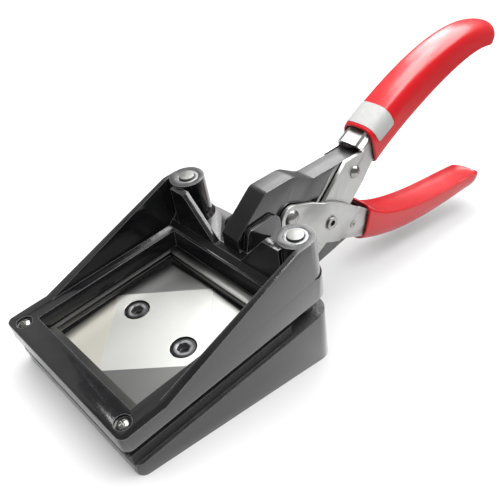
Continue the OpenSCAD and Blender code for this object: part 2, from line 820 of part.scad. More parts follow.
module spring_seats() {
    color(steel) placed()
        post_spots(shoulder_z)
            difference() {
                cylinder(r = seat_r, h = seat_h);
                translate([0, 0, -slack])
                    cylinder(r = post_r + seat_fit, h = far);
            }
}

// Round wire wound about z as one tube
module coil() {
    rings = coil_rings * spring_turns;
    n = coil_sides;
    lead = (spring_high - spring_low - wire_d) / spring_turns;
    points = [for (i = [0 : rings], k = [0 : n - 1]) let (
            a = 360 * i / coil_rings,
            b = 360 * k / n,
            reach = spring_r + wire_d / 2 * cos(b)
        ) [reach * cos(a), reach * sin(a), lead * i / coil_rings + wire_d / 2 * sin(b)]];
    walls = [for (i = [0 : rings - 1], k = [0 : n - 1]) let (a = i * n + k, b = i * n + (k + 1) % n)
        each [[a, b, b + n], [a, b + n, a + n]]];
    first = [for (k = [1 : n - 2]) [0, k + 1, k]];
    last = [for (k = [1 : n - 2]) [rings * n, rings * n + k, rings * n + k + 1]];
    echo(least_coil_gap = lead - wire_d);
    polyhedron(points, concat(walls, first, last));
}

module return_springs() {
    color(steel) placed()
        post_spots(spring_low + wire_d / 2)
            coil();
}

// Bar under the punch face along one diagonal: flat in its middle, falling to two opposite corners
module diagonal_bar(turn) {
    reach = cut_size / 2 * sqrt(0.5) + slack;
    base = -punch_foot - over;
    edge = -punch_drop - corner_drop;
    rotate([0, 0, turn])
        along_y(-cut_size, cut_size)
            polygon([[-2 * reach, base], [2 * reach, base], [2 * reach, edge], [reach, -punch_drop],
                [-reach, -punch_drop], [-2 * reach, edge]]);
}

module punch() {
    half = cut_size / 2;
    color(ground) placed() difference() {
        intersection() {
            translate([-half, -half, -punch_foot])
                cube([cut_size, cut_size, punch_foot]);
            diagonal_bar(45);
            diagonal_bar(-45);
        }
        each_at([[-punch_screw_x, 0, 0], [punch_screw_x, 0, 0]]) {
            translate([0, 0, -punch_drop - punch_head_h - slack])
                cylinder(r = punch_head_r + punch_head_gap, h = far);
            translate([0, 0, -far / 2])
                cylinder(r = punch_thread_r + seat_fit, h = far);
        }
    }
}

module punch_screws() {
    color(dark_steel) placed()
        each_at([[-punch_screw_x, 0, -punch_drop - slack], [punch_screw_x, 0, -punch_drop - slack]])
            cap_screw(punch_head_r, punch_head_h, punch_thread_r, punch_foot - punch_drop);
}

// Side outline of the wedge foot, its lower edge on the table
module wedge_outline() {
    polygon(rounded([[-lower_front, -lower_deck, 0], [-lower_front, floor_z(-lower_front), toe_r],
        [lower_rear, floor_z(lower_rear), heel_r], [lower_rear, -lower_deck, 0]]));
}

module lower_frame() {
    pocket = cut_size / 2 + seat_fit;
    thread_end = -punch_foot - punch_head_h - 2 * slack;
    slot_half = jaw_half + seat_fit;
    head_seat = -lower_deck - jaw_head_h - 2 * slack;
    bed_len = lower_front + fence_rear - fence_thick / 2;
    color(black) placed() difference() {
        union() {
            intersection() {
                translate([0, 0, -far / 2])
                    linear_extrude(far / 2)
                        frame_plan(lower_front, lower_rear);
                along_x(-far, far)
                    wedge_outline();
            }
            translate([-fence_out, -lower_front, -lower_deck - over])
                cube([2 * fence_out, bed_len, lower_deck + over - bed_drop]);
            both()
                fence();
            cheeks(-lower_deck, cheek_low);
        }
        translate([-pocket, -pocket, -punch_foot])
            cube([2 * pocket, 2 * pocket, far]);
        each_at([[-punch_screw_x, 0, thread_end], [punch_screw_x, 0, thread_end]])
            cylinder(r = punch_thread_r + seat_fit, h = far);
        post_spots(-post_depth)
            cylinder(r = shoulder_r + seat_fit, h = far);
        translate([-slot_half, jaw_front - seat_fit, -far])
            cube([2 * slot_half, far, far + lower_jaw_top]);
        translate([-slot_half, jaw_seat_rear - seat_fit, -far])
            cube([2 * slot_half, far, 2 * far]);
        each_at([[0, jaw_screw_a, -far / 2], [0, jaw_screw_b, -far / 2]])
            cylinder(r = jaw_thread_r + slack, h = far);
        each_at([[0, jaw_screw_a, head_seat], [0, jaw_screw_b, head_seat]])
            cylinder(r = jaw_head_r + slack, h = far);
    }
}

// One side fence beside the punch bed, rounded at its rear end
module fence() {
    r = fence_thick / 2;
    translate([0, 0, -lower_deck - over])
        linear_extrude(lower_deck + over - fence_drop) {
            translate([fence_in, -lower_front])
                square([fence_thick, lower_front + fence_rear - r]);
            translate([fence_in + r, fence_rear - r])
                circle(r);
        }
}

// Slot that a slide pin needs between its open and its closed place
module pin_slot(from, to, r) {
    run = to - from;
    translate([-far, from[0], from[1]])
        rotate([atan2(run[1], run[0]), 0, 0]) {
            bar_x([0, 0], r, 0, 2 * far);
            bar_x([norm(run), 0], r, 0, 2 * far);
            translate([0, 0, -r])
                cube([2 * far, norm(run), 2 * r]);
        }
}

// Flank of the upper jaw plate: nose, hump, waist and slotted tail
module upper_jaw_outline() {
    tail = upper_pin[0] + upper_tail;
    tail_low = upper_pin[1] - tail_inner;
    crest = upper_pivot[1] + hump_h;
    gap = pivot_z + jaw_gap;
    polygon(rounded([
        [jaw_front, deck_h, 0],
        [jaw_front, deck_h + nose_h, jaw_r],
        [upper_pivot[0] - hump_front, crest, hump_r],
        [upper_pivot[0] + hump_rear, crest - hump_fall, hump_back_r],
        [upper_pivot[0] + waist_run, upper_pivot[1] + waist_h, waist_r],
        [tail, upper_pin[1] + tail_outer, tail_r],
        [tail, tail_low, tail_r],
        [pivot_y + gap_rear, tail_low, 2 * jaw_r],
        [pivot_y - gap_front, gap, jaw_r],
        [jaw_seat_rear, gap, jaw_r],
        [jaw_seat_rear, deck_h, 0]]));
}

module upper_jaw() {
    color(black) placed() difference() {
        along_x(-jaw_half, jaw_half)
            upper_jaw_outline();
        bar_x(pivot, notch_r, -far, far);
        bar_x(upper_pivot, rivet_r + link_fit, -far, far);
        pin_slot(upper_pin, upper_pin_end, upper_pin_r + link_fit);
        each_at([[0, jaw_screw_a, 0], [0, jaw_screw_b, 0]])
            cylinder(r = jaw_thread_r + seat_fit, h = deck_h + jaw_thread_len);
    }
}

// Flank of the lower jaw plate, kept clear of the table
module lower_jaw_outline() {
    tail = lower_pin[0] + lower_tail;
    tail_top = lower_pin[1] + tail_inner;
    belly = lower_pivot[1] - belly_h;
    gap = pivot_z - jaw_gap;
    polygon(rounded([
        [jaw_front, lower_jaw_top, 0],
        [jaw_seat_rear, lower_jaw_top, 0],
        [jaw_seat_rear, gap, jaw_r],
        [pivot_y - gap_front, gap, jaw_r],
        [pivot_y + gap_rear, tail_top, 2 * jaw_r],
        [tail, tail_top, tail_r],
        [tail, lower_pin[1] - tail_outer, tail_r],
        [lower_pivot[0] + waist_run, lower_pivot[1] - lower_waist_h, waist_r],
        [lower_pivot[0] + hump_rear, belly, hump_back_r],
        [lower_pivot[0] - belly_front, belly, hump_r],
        [jaw_front, lower_jaw_top - nose_h, jaw_r]]));
}

module lower_jaw() {
    thread_end = lower_jaw_top - jaw_thread_len;
    color(black) placed() difference() {
        along_x(-jaw_half, jaw_half)
            lower_jaw_outline();
        bar_x(pivot, notch_r, -far, far);
        bar_x(lower_pivot, rivet_r + run_fit, -far, far);
        pin_slot(lower_pin, lower_pin_end, lower_pin_r + link_fit);
        each_at([[0, jaw_screw_a, thread_end], [0, jaw_screw_b, thread_end]])
            cylinder(r = jaw_thread_r + seat_fit, h = far);
    }
}

module upper_jaw_screws() {
    length = deck_h - jaw_head_h + jaw_thread_len - 2 * slack;
    color(dark_steel) placed()
        each_at([[0, jaw_screw_a, slack], [0, jaw_screw_b, slack]])
            mirror([0, 0, 1])
                cap_screw(jaw_head_r, jaw_head_h, jaw_thread_r, length);
}

module lower_jaw_screws() {
    length = lower_deck_thick - jaw_head_h + jaw_thread_len - 2 * slack;
    top = -lower_deck - slack;
    color(dark_steel) placed()
        each_at([[0, jaw_screw_a, top], [0, jaw_screw_b, top]])
            cap_screw(jaw_head_r, jaw_head_h, jaw_thread_r, length);
}

// Height of a grip's rims over its curve, and depth of the groove between them
function rim_half(grip, t) = grip - rim_drop * (1 - pow(1 - t, 2));
function groove_at(t) = groove * (1 - pow(1 - min(1, t / groove_run), 2));

// Height of the lever plates hidden in a grip, towards its back and towards its groove
function tang_half(grip, t) = (grip - tip_lower * t) * tang_share - tang_cover - tang_narrow * t;
function tang_inner(grip, t) = min(tang_half(grip, t),
    rim_half(grip, t) * rim_share - groove_at(t) * groove_share - tang_cover);

// Lines along a hidden lever plate: near the back of the grip, set in from the edge, and near the groove
function tang_stops() = [for (i = [0 : tang_steps]) tang_end * i / tang_steps];
function tang_back(path, grip, side, inset) = [for (t = tang_stops())
    path_side(path, t, side * (tang_half(grip, t) - inset))];
function tang_front(path, grip, side) = [for (t = tang_stops())
    path_side(path, t, side * tang_inner(grip, t))];
function reversed(list) = [for (i = [len(list) - 1 : -1 : 0]) list[i]];
function beyond(list, from) = [for (i = [from : len(list) - 1]) list[i]];
function sharp(list) = [for (p = list) [p[0], p[1], 0]];

// Height of the channel's back over the grip curve, and a point at the foot of its bends
channel_top = tang_half(upper_grip_half, 0);
function channel_foot(run) = upper_grip_at + run * path_dir(upper_path, 0)
    + (channel_top - channel_r) * turned(path_dir(upper_path, 0), 90);

// Turns a piece into the line of the upper lever at the start of its grip
module at_upper_grip() {
    dir = path_dir(upper_path, 0);
    translate([0, upper_grip_at[0], upper_grip_at[1]])
        rotate([atan2(dir[1], dir[0]), 0, 0])
            along_y(-channel_front, channel_len)
                children();
}

// Section of the channel: round bends over the two lever plates
module channel_section() {
    low = channel_top - channel_r - over;
    roof = channel_top - sheet;
    bend = channel_r - sheet;
    polygon(rounded([[plate_out, low, 0], [plate_out, channel_top, channel_r],
        [-plate_out, channel_top, channel_r], [-plate_out, low, 0], [-plate_in, low, 0],
        [-plate_in, roof, bend], [plate_in, roof, bend], [plate_in, low, 0]]));
}

// Section of the open mouth of the upper grip, filled by the channel's back
module mouth_section() {
    polygon(rounded([[plate_out, -mouth_depth, 0], [plate_out, channel_top, channel_r],
        [-plate_out, channel_top, channel_r], [-plate_out, -mouth_depth, 0]]));
}

// Flank of the upper lever, straight from the lower front pivot up to the grip
module upper_lever_outline() {
    along = [cos(lever_angle), sin(lever_angle)];
    across = upper_lever_half * [-along[1], along[0]];
    end = lever_end_r * [-along[1], along[0]];
    polygon(concat(
        [lower_pivot - end, pivot - across, upper_pin - across],
        tang_front(upper_path, upper_grip_half, -1),
        reversed(beyond(tang_back(upper_path, upper_grip_half, 1, 0), upper_back_from)),
        [channel_foot(channel_share * channel_len), channel_foot(-channel_front)],
        [upper_pin + across, pivot + across, lower_pivot + end]));
    translate(lower_pivot)
        circle(lever_end_r);
}

// Flank of the lower lever, bowed along its upper edge
module lower_lever_outline() {
    nose = on_arc(upper_pivot, lever_end_r, nose_turn);
    brow = on_arc(upper_pivot, lever_end_r, brow_turn);
    crown = on_arc(pivot, lower_lever_half, crown_turn);
    belly = on_arc(pivot, lower_lever_half, belly_turn);
    polygon(rounded(concat(
        [[nose[0], nose[1], 0], [belly[0], belly[1], hollow_r]],
        sharp(tang_back(lower_path, lower_grip_half, -1, 0)),
        sharp(reversed(tang_front(lower_path, lower_grip_half, 1))),
        [[crown[0], crown[1], crown_r], [brow[0], brow[1], 0]])));
    translate(upper_pivot)
        circle(lever_end_r);
}

// Back of a lever channel: a strip along the outer side of the hidden plates
module lever_back(path, grip, side, from) {
    outer = beyond(tang_back(path, grip, side, 0), from);
    inner = beyond(tang_back(path, grip, side, sheet), from);
    along_x(-plate_in - slack, plate_in + slack)
        polygon(concat(outer, reversed(inner)));
}

module upper_handle() {
    color(steel) placed() difference() {
        union() {
            both()
                along_x(plate_in, plate_out)
                    upper_lever_outline();
            lever_back(upper_path, upper_grip_half, 1, upper_back_from);
            at_upper_grip()
                channel_section();
        }
        bar_x(lower_pivot, rivet_r + seat_fit, -far, far);
        bar_x(upper_pin, upper_pin_r + seat_fit, -far, far);
        bar_x(pivot, main_r + seat_fit, -far, far);
    }
}

// Thickness profile of one lower lever plate across the upper lever: raised field with sloped bends
module field_profile() {
    front = field_front + bend_run;
    rear = field_rear + bend_run;
    polygon([[-far, plate_in], [-rear, plate_in], [-field_rear, field_in], [field_front, field_in],
        [front, plate_in], [far, plate_in], [far, plate_out], [front, plate_out], [field_front, field_out],
        [-field_rear, field_out], [-rear, plate_out], [-far, plate_out]]);
}

// One side plate of the lower lever, stepped out where it passes the upper lever
module lower_lever_plate() {
    intersection() {
        along_x(0, field_out + over)
            lower_lever_outline();
        translate([0, pivot_y, pivot_z])
            rotate([lever_angle, 0, 0])
                translate([0, far, 0])
                    rotate([90, 0, 0])
                        linear_extrude(2 * far)
                            mirror([1, -1])
                                field_profile();
    }
}

module lower_handle() {
    color(steel) placed() difference() {
        union() {
            both()
                lower_lever_plate();
            lever_back(lower_path, lower_grip_half, -1, lower_back_from);
        }
        bar_x(upper_pivot, rivet_r + seat_fit, -far, far);
        bar_x(lower_pin, lower_pin_r + seat_fit, -far, far);
        bar_x(pivot, main_r + run_fit, -far, far);
    }
}

// One ring of a grip: round back, squarer inner side with a finger groove between its rims
function grip_ring(path, half, belly, side, t, grow) = let (
        cap = t < tip_start ? 1 : sqrt(max(tip_floor, 1 - pow((t - tip_start) / (1 - tip_start), 2))),
        w = (grip_half - tip_narrow * t * t) * cap + grow,
        swell = belly * sin(180 * t),
        back = (half - tip_lower * t + swell) * cap + grow,
        rim = (rim_half(half, t) + rim_swell * swell) * cap + grow,
        at = path_at(path, t),
        dir = path_dir(path, t)
    ) [for (k = [0 : ring_points - 1]) let (
            a = 360 * k / ring_points,
            inner = sin(a) < 0,
            power = inner ? 1 - (1 - section_power) * cap : back_power + (1 - back_power) * pow(t, 3),
            x = w * signed_pow(cos(a), power),
            v = (inner ? rim : back) * signed_pow(sin(a), power),
            dip = inner ? groove_at(t) * cap * (1 - pow(x / w, 4)) : 0,
            off = side * (v + dip)
        ) [x, at[0] - off * dir[1], at[1] + off * dir[0]]];

// A whole grip before it is trimmed and hollowed
module grip_body(path, half, belly, side, grow) {
    stops = concat([for (i = [0 : grip_rings]) tip_start * i / grip_rings],
        [for (i = [1 : tip_rings]) tip_start + (1 - tip_start) * sin(90 * i / tip_rings)]);
    last = len(stops) - 1;
    n = ring_points;
    points = [for (t = stops) each grip_ring(path, half, belly, side, t, grow)];
    walls = [for (i = [0 : last - 1], k = [0 : n - 1]) let (a = i * n + k, b = i * n + (k + 1) % n)
        each side < 0 ? [[a, b + n, b], [a, a + n, b + n]] : [[a, b, b + n], [a, b + n, a + n]]];
    front = [for (k = [1 : n - 2]) side < 0 ? [0, k, k + 1] : [0, k + 1, k]];
    rear = [for (k = [1 : n - 2]) side < 0
        ? [last * n, last * n + k + 1, last * n + k]
        : [last * n, last * n + k, last * n + k + 1]];
    polyhedron(points, concat(front, walls, rear));
}

// Everything ahead of the slanting front lip of a grip
module lip_cut(at, back, turn) {
    translate([-far, at[0] + back, at[1]])
        rotate([turn, 0, 0])
            translate([0, -far, -far])
                cube([2 * far, 2 * far, far]);
}

module upper_grip() {
    color(red) placed() difference() {
        grip_body(upper_path, upper_grip_half, upper_belly, 1, 0);
        lip_cut(upper_grip_at, upper_lip_back, upper_lip_turn);
        both()
            along_x(plate_in, plate_out)
                upper_lever_outline();
        lever_back(upper_path, upper_grip_half, 1, upper_back_from);
        at_upper_grip()
            mouth_section();
    }
}

module lower_grip() {
    color(red) placed() difference() {
        grip_body(lower_path, lower_grip_half, lower_belly, -1, 0);
        lip_cut(lower_grip_at, lower_lip_back, lower_lip_turn);
        both()
            along_x(plate_in, plate_out)
                lower_lever_outline();
        lever_back(lower_path, lower_grip_half, -1, lower_back_from);
    }
}

// Thin label wrapped over the back of the upper grip behind its lip
module size_label() {
    at = path_at(upper_path, label_start);
    dir = path_dir(upper_path, label_start);
    reach = grip_half + over;
    color(white) placed() difference() {
        intersection() {
            grip_body(upper_path, upper_grip_half, upper_belly, 1, label_thick);
            translate([-reach, at[0], at[1]])
                rotate([atan2(dir[1], dir[0]), 0, 0])
                    translate([0, 0, label_low])
                        cube([2 * reach, label_len, upper_grip_half + over]);
        }
        grip_body(upper_path, upper_grip_half, upper_belly, 1, 0);
    }
}

// Rivet with domed heads through both lever plates
module domed_rivet(at, r, head_r) {
    color(steel) placed()
        translate([0, at[0], at[1]])
            rotate([0, 90, 0])
                rotate_extrude()
                    rivet_outline(r, head_r, rivet_head_h, plate_out);
}

module lower_front_rivet() {
    domed_rivet(lower_pivot, rivet_r, rivet_head_r);
}

module upper_front_rivet() {
    domed_rivet(upper_pivot, rivet_r, rivet_head_r);
}

module upper_slide_pin() {
    domed_rivet(upper_pin, upper_pin_r, upper_pin_head_r);
}

module lower_slide_pin() {
    color(steel) placed() difference() {
        bar_x(lower_pin, lower_pin_r, -plate_out - slack, plate_out + slack);
        both()
            bar_x(lower_pin, lower_pin_r * pin_hollow, plate_out - slack, far);
    }
}

module main_pivot() {
    end = field_out + cross_gap;
    color(steel) placed() difference() {
        union() {
            bar_x(pivot, main_r, -end, end);
            both()
                bar_x(pivot, main_collar_r, end, end + main_collar_h);
        }
        bar_x(pivot, main_bore_r, -far, far);
    }
}

module pivot_spacer() {
    color(dark_steel) placed() difference() {
        bar_x(pivot, spacer_r, -plate_in, plate_in);
        bar_x(pivot, main_r + seat_fit, -far, far);
    }
}

lower_frame();
punch();
punch_screws();
guide_posts();
spring_seats();
return_springs();
lower_jaw();
lower_jaw_screws();
upper_frame();
die_plate();
die_front_screws();
die_rear_screws();
guide_bushes();
upper_jaw();
upper_jaw_screws();
upper_handle();
upper_grip();
size_label();
lower_front_rivet();
upper_slide_pin();
main_pivot();
pivot_spacer();
lower_handle();
lower_grip();
upper_front_rivet();
lower_slide_pin();
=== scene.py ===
"""Looks of the square photo cutter: painted castings, ground punch and die, sheet levers, dipped grips."""

import json
import math

import bmesh
import bpy
from mathutils import Matrix, Vector


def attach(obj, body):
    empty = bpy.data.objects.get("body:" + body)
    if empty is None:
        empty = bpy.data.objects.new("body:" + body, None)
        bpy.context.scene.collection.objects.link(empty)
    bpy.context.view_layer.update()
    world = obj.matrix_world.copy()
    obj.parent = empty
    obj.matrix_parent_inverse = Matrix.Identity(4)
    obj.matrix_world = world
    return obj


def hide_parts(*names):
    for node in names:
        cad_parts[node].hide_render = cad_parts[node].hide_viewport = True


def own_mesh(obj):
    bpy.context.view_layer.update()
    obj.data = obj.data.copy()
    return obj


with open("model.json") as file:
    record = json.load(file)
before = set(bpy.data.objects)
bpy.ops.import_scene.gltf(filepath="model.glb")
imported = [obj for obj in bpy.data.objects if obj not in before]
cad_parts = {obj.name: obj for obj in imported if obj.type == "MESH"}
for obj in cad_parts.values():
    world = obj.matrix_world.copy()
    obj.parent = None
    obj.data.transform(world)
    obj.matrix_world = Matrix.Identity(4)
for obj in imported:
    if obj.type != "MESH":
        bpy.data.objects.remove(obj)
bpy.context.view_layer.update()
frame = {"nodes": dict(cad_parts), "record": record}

MM = 0.001
CUTTER_MIDDLE = Vector((0, 0.06, 0.03))

# The cutting frame leans back by this angle: its sideways, upward and rearward directions and its origin
HEAD_TILT = math.radians(11.8)
DIE_HEIGHT = 21.1 * MM
CUT_SIDE = Vector((1, 0, 0))
CUT_UP = Vector((0, -math.sin(HEAD_TILT), math.cos(HEAD_TILT)))
CUT_BACK = Vector((0, math.cos(HEAD_TILT), math.sin(HEAD_TILT)))
CUT_ORIGIN = Vector((0, 0, DIE_HEIGHT))

# The camera of the photograph, 500 pixels wide
PHOTO_WIDTH = 500
FOCAL_PIXELS = 648.7
SENSOR_WIDTH = 36
CAMERA_CLIP = 0.01
CAMERA_AT = Vector((0.1486, -0.0978, 0.1619))
CAMERA_RIGHT = Vector((0.6772, 0.7355, 0.0234))
CAMERA_UP = Vector((-0.4072, 0.3481, 0.8444))
CAMERA_BACK = Vector((0.6129, -0.5814, 0.5351))

# Brightness of the backdrop as it is seen and as it lights the cutter
BACKDROP = 0.95
AMBIENT = 0.3
# Half side of the floor, and the distances between which it passes into the backdrop
FLOOR_HALF = 4.0
HORIZON_NEAR = 1.0
HORIZON_FAR = 2.5
# The floor darkens between these distances from the cutter, by this share, as far as glossy faces show it
MIRROR_NEAR = 0.12
MIRROR_FAR = 0.32
MIRROR_LOSS = 0.78

# Half side of the punch, and the width over which one ground facet passes into the next
PUNCH_HALF = 25 * MM
FACET_BLEND = 0.2 * MM
# Runs over which the painted reflections on the middle and the rear left facet of the punch brighten, as
# shares of its half side
MIDDLE_RUN = (-0.95, -0.1)
REAR_LEFT_RUN = (-0.88, -0.24)
# Screws of the punch: place, radii between which the painted shade of the socket starts, and radii between
# which the painted shadow of the rim starts
PUNCH_SCREW_X = 13.6 * MM
SOCKET_START = (2.0 * MM, 1.8 * MM)
RIM_START = (3.1 * MM, 3.5 * MM)
# Inner edge of the die's ledges with painted shade and rear end of its strip with a painted reflection, as
# shares of the punch's half side
DIE_LEDGE = 0.92
DIE_STRIP_END = 1.02
DIE_FADE = 3.6 * MM

# Levels of the castings and start of the worn deck in the cutting frame, with the widths of the change there
LOWER_DECK = -8.49 * MM
DECK_LOW = 0.5 * MM
DECK_HIGH = 0.1 * MM
BARE_FROM = 42 * MM
BARE_BLEND = 2 * MM
BOSS_TOP = 24.8 * MM
BOSS_MARGIN = 0.3 * MM
LEVEL_BLEND = 0.1 * MM
# Distance behind the die at which the back of the upper lever starts
BENT_FROM = 92 * MM
BENT_BLEND = 1 * MM

# Section of the grips: half width, losses towards the tip, round tip, squareness and finger groove
GRIP_HALF_WIDTH = 7.8 * MM
TIP_LOWER = 2.2 * MM
TIP_NARROW = 0.6 * MM
TIP_START = 0.88
TIP_FLOOR = 0.004
BACK_POWER = 0.64
RIM_POWER = 0.4
RIM_DROP = 5.0 * MM
RIM_SWELL = 1.7
GROOVE_RUN = 0.25
GROOVE = 4.5 * MM
GROOVE_POWER = 4
# Sine below which a point of a ring counts as lying on the finger side
FINGER_SIDE = -1e-9
# Reach within which the vinyl gets painted shade in a hollow
HOLLOW = 9 * MM
# Bead round the lip of a grip, and depth of its open mouth, short enough to stay inside the finger groove
LIP_BEAD = 0.72 * MM
MOUTH_DEPTH = 3 * MM
# Label on the back of the upper grip: start along the grip curve, length, thickness, lower edges, corners
LABEL_START = 0.07
LABEL_LENGTH = 10 * MM
LABEL_THICK = 0.2 * MM
LABEL_LOW = 0.5 * MM
LABEL_CORNER = 1.2 * MM
LABEL_CREASE = math.radians(60)
# Rings along a grip and a label, and points round them
GRIP_RINGS = 72
TIP_RINGS = 20
RING_POINTS = 96
LABEL_RINGS = 40
BEAD_STEPS = 8

# Rounding of the rigid pieces: distance of doubled points, and the angles between faces that count as flat,
# as an edge to round, as a crease, as a ground facet of the punch and as no facet at all
WELD = 0.002 * MM
FLAT_ANGLE = math.radians(0.5)
ROUND_ANGLE = math.radians(32)
CREASE_ANGLE = math.radians(40)
PUNCH_FACET = math.radians(1.5)
NO_FACET = math.radians(180)
ROUND_SEGMENTS = 3
SPRING_EDGE = 0.05 * MM

# Tones of the enamel, of its painted edge highlight and of the bare casting
ENAMEL_DARK = (0.004, 0.004, 0.005, 1)
ENAMEL_LIGHT = (0.012, 0.012, 0.013, 1)
ENAMEL_EDGE_HIGHLIGHT = (0.22, 0.22, 0.224, 1)
CASTING_BARE = (0.16, 0.16, 0.16, 1)
# Tones of the ground steel: scratches, clouds, the painted reflections on the facets of the punch and the
# painted shade and reflection on the parts of the die
GRIND_LINE = (0.12, 0.12, 0.117, 1)
GRIND_CLOUD = (0.20, 0.195, 0.18, 1)
MIDDLE_REFLECTION_TONES = ((0.48, 0.485, 0.46, 1), (0.54, 0.545, 0.52, 1))
REAR_LEFT_REFLECTION_TONES = ((0.13, 0.13, 0.128, 1), (0.30, 0.30, 0.295, 1))
FRONT_RIGHT_REFLECTION = (0.15, 0.15, 0.148, 1)
REAR_RIGHT_REFLECTION = (0.32, 0.32, 0.304, 1)
FRONT_LEFT_REFLECTION = (0.64, 0.625, 0.55, 1)
DIE_STRIP_REFLECTION_TONES = ((0.17, 0.17, 0.166, 1), (0.26, 0.26, 0.252, 1))
DIE_PAINTED_SHADE = (0.03, 0.03, 0.03, 1)
# Tones of the lever sheet on its flanks, of the painted highlight on its bent back and along its rolling
# lines
FLANK_TONES = ((0.46, 0.46, 0.45, 1), (0.55, 0.55, 0.54, 1))
BENT_BACK_HIGHLIGHT_TONES = ((0.66, 0.66, 0.64, 1), (0.74, 0.74, 0.72, 1))
ROLLING_LINE = (0.33, 0.33, 0.325, 1)
# Tones of the small steel pieces, dark and light, and the painted shade of the punch screws
PLATED_TONES = ((0.28, 0.276, 0.262, 1), (0.42, 0.415, 0.40, 1))
POST_TONES = ((0.14, 0.14, 0.133, 1), (0.21, 0.21, 0.202, 1))
OXIDE_TONES = ((0.15, 0.15, 0.155, 1), (0.24, 0.24, 0.245, 1))
SPRING_TONES = ((0.42, 0.42, 0.41, 1), (0.56, 0.55, 0.53, 1))
SCREW_TOP_TONES = ((0.10, 0.10, 0.103, 1), (0.20, 0.20, 0.204, 1))
SCREW_PAINTED_SHADE = (0.012, 0.012, 0.013, 1)
# Tones of the vinyl, of its painted shade in hollows and as it colours nearby dull faces, and of the label
VINYL_TONES = ((0.74, 0.003, 0.010, 1), (0.80, 0.005, 0.013, 1))
VINYL_HOLLOW_SHADE = (0.10, 0.001, 0.003, 1)
VINYL_BOUNCE = (0.25, 0.16, 0.16, 1)
LABEL_TONES = ((0.56, 0.56, 0.547, 1), (0.62, 0.62, 0.607, 1))
# Tones of the floor as it is seen and as it lights dull faces
FLOOR_TONES = ((0.89, 0.89, 0.89, 1), (0.91, 0.91, 0.91, 1))
FLOOR_BOUNCE = (0.45, 0.45, 0.45, 1)
BLACK = (0, 0, 0, 1)
WHITE = (1, 1, 1, 1)

# Studio lights: direction from the cutter, distance, width and height in metres, and radiance
SOFTBOXES = {
    "ceiling_softbox": {"direction": (0.03, 0.19, 0.98), "distance": 3.0, "size": (3.5, 1.25),
                        "radiance": 11.0},
    "rear_softbox": {"direction": (-0.01, 0.6, 0.8), "distance": 3.0, "size": (4.6, 1.5), "radiance": 8.0},
    "rear_wall": {"direction": (0, 0.84, 0.54), "distance": 3.2, "size": (4.65, 0.9), "radiance": 0.4},
    "tail_panel": {"direction": (-0.79, 0.75, 0.72), "distance": 3.0, "size": (1.0, 1.2), "radiance": 4.0},
    "left_panel": {"direction": (-0.78, 0.07, 0.62), "distance": 1.2, "size": (1.1, 0.55), "radiance": 0.5},
    "overhead_fill": {"direction": (0, 0, 1), "distance": 2.5, "size": (5.0, 5.0), "radiance": 2.2,
                      "mirrored": False},
}

# Places of the colour sockets on a mix node, after those for numbers and vectors
MIX_FIRST = 6
MIX_SECOND = 7
MIX_RESULT = 2


class Tree:
    """A node tree with short calls to add and join nodes."""

    def __init__(self, tree):
        self.tree = tree
        tree.nodes.clear()

    def add(self, kind, settings=None, **inputs):
        """A new node; an underscore in the name of an input stands for a space."""
        node = self.tree.nodes.new(kind)
        for name, value in (settings or {}).items():
            setattr(node, name, value)
        for name, value in inputs.items():
            self.feed(node.inputs[name.replace("_", " ")], value)
        return node

    def feed(self, socket, value):
        """Joins a socket to another node's output, or sets it to a plain value."""
        if isinstance(value, bpy.types.NodeSocket):
            self.tree.links.new(value, socket)
        else:
            socket.default_value = value

    def math(self, operation, a, b=0.0):
        node = self.add("ShaderNodeMath", {"operation": operation})
        self.feed(node.inputs[0], a)
        self.feed(node.inputs[1], b)
        return node.outputs[0]

    def span(self, value, low, high, to_low=0.0, to_high=1.0):
        """Maps a value from one range to another, held at both ends."""
        node = self.add("ShaderNodeMapRange", {"clamp": True}, Value=value, From_Min=low, From_Max=high,
                        To_Min=to_low, To_Max=to_high)
        return node.outputs["Result"]

    def dot(self, vector, axis):
        node = self.add("ShaderNodeVectorMath", {"operation": "DOT_PRODUCT"})
        self.feed(node.inputs[0], vector)
        self.feed(node.inputs[1], axis)
        return node.outputs["Value"]

    def blend(self, share, a, b):
        """Passes from one colour to another."""
        node = self.add("ShaderNodeMix", {"data_type": "RGBA"}, Factor=share)
        self.feed(node.inputs[MIX_FIRST], a)
        self.feed(node.inputs[MIX_SECOND], b)
        return node.outputs[MIX_RESULT]


def group(name, inputs, outputs, build):
    """A shader node group with named sockets; build(nodes, inputs) returns a value for each output."""
    tree = bpy.data.node_groups.new(name, "ShaderNodeTree")
    for socket, default in inputs.items():
        made = tree.interface.new_socket(socket, in_out="INPUT", socket_type="NodeSocketFloat")
        made.default_value = default
    for socket in outputs:
        tree.interface.new_socket(socket, in_out="OUTPUT", socket_type="NodeSocketFloat")
    nodes = Tree(tree)
    start = nodes.add("NodeGroupInput")
    end = nodes.add("NodeGroupOutput")
    for socket, value in build(nodes, start.outputs).items():
        nodes.feed(end.inputs[socket], value)
    return tree


def mottle(nodes, given):
    """Cloudy variation between a low and a high value, fixed to the piece."""
    place = nodes.add("ShaderNodeTexCoord").outputs["Object"]
    noise = nodes.add("ShaderNodeTexNoise", Vector=place, Scale=given["Scale"], Detail=4.0, Roughness=0.55)
    return {"Value": nodes.span(noise.outputs["Fac"], 0.3, 0.7, given["Low"], given["High"])}


def grain(nodes, given):
    """Two sizes of fine bumps, as in sprayed paint, cast skins and dipped vinyl."""
    place = nodes.add("ShaderNodeTexCoord").outputs["Object"]
    coarse = nodes.add("ShaderNodeTexNoise", Vector=place, Scale=given["Scale"], Detail=2.0, Roughness=0.5)
    fine_scale = nodes.math("MULTIPLY", given["Scale"], 4.0)
    fine = nodes.add("ShaderNodeTexNoise", Vector=place, Scale=fine_scale, Detail=1.0, Roughness=0.5)
    share = nodes.math("MULTIPLY", fine.outputs["Fac"], given["Fine"])
    return {"Height": nodes.math("ADD", coarse.outputs["Fac"], share)}


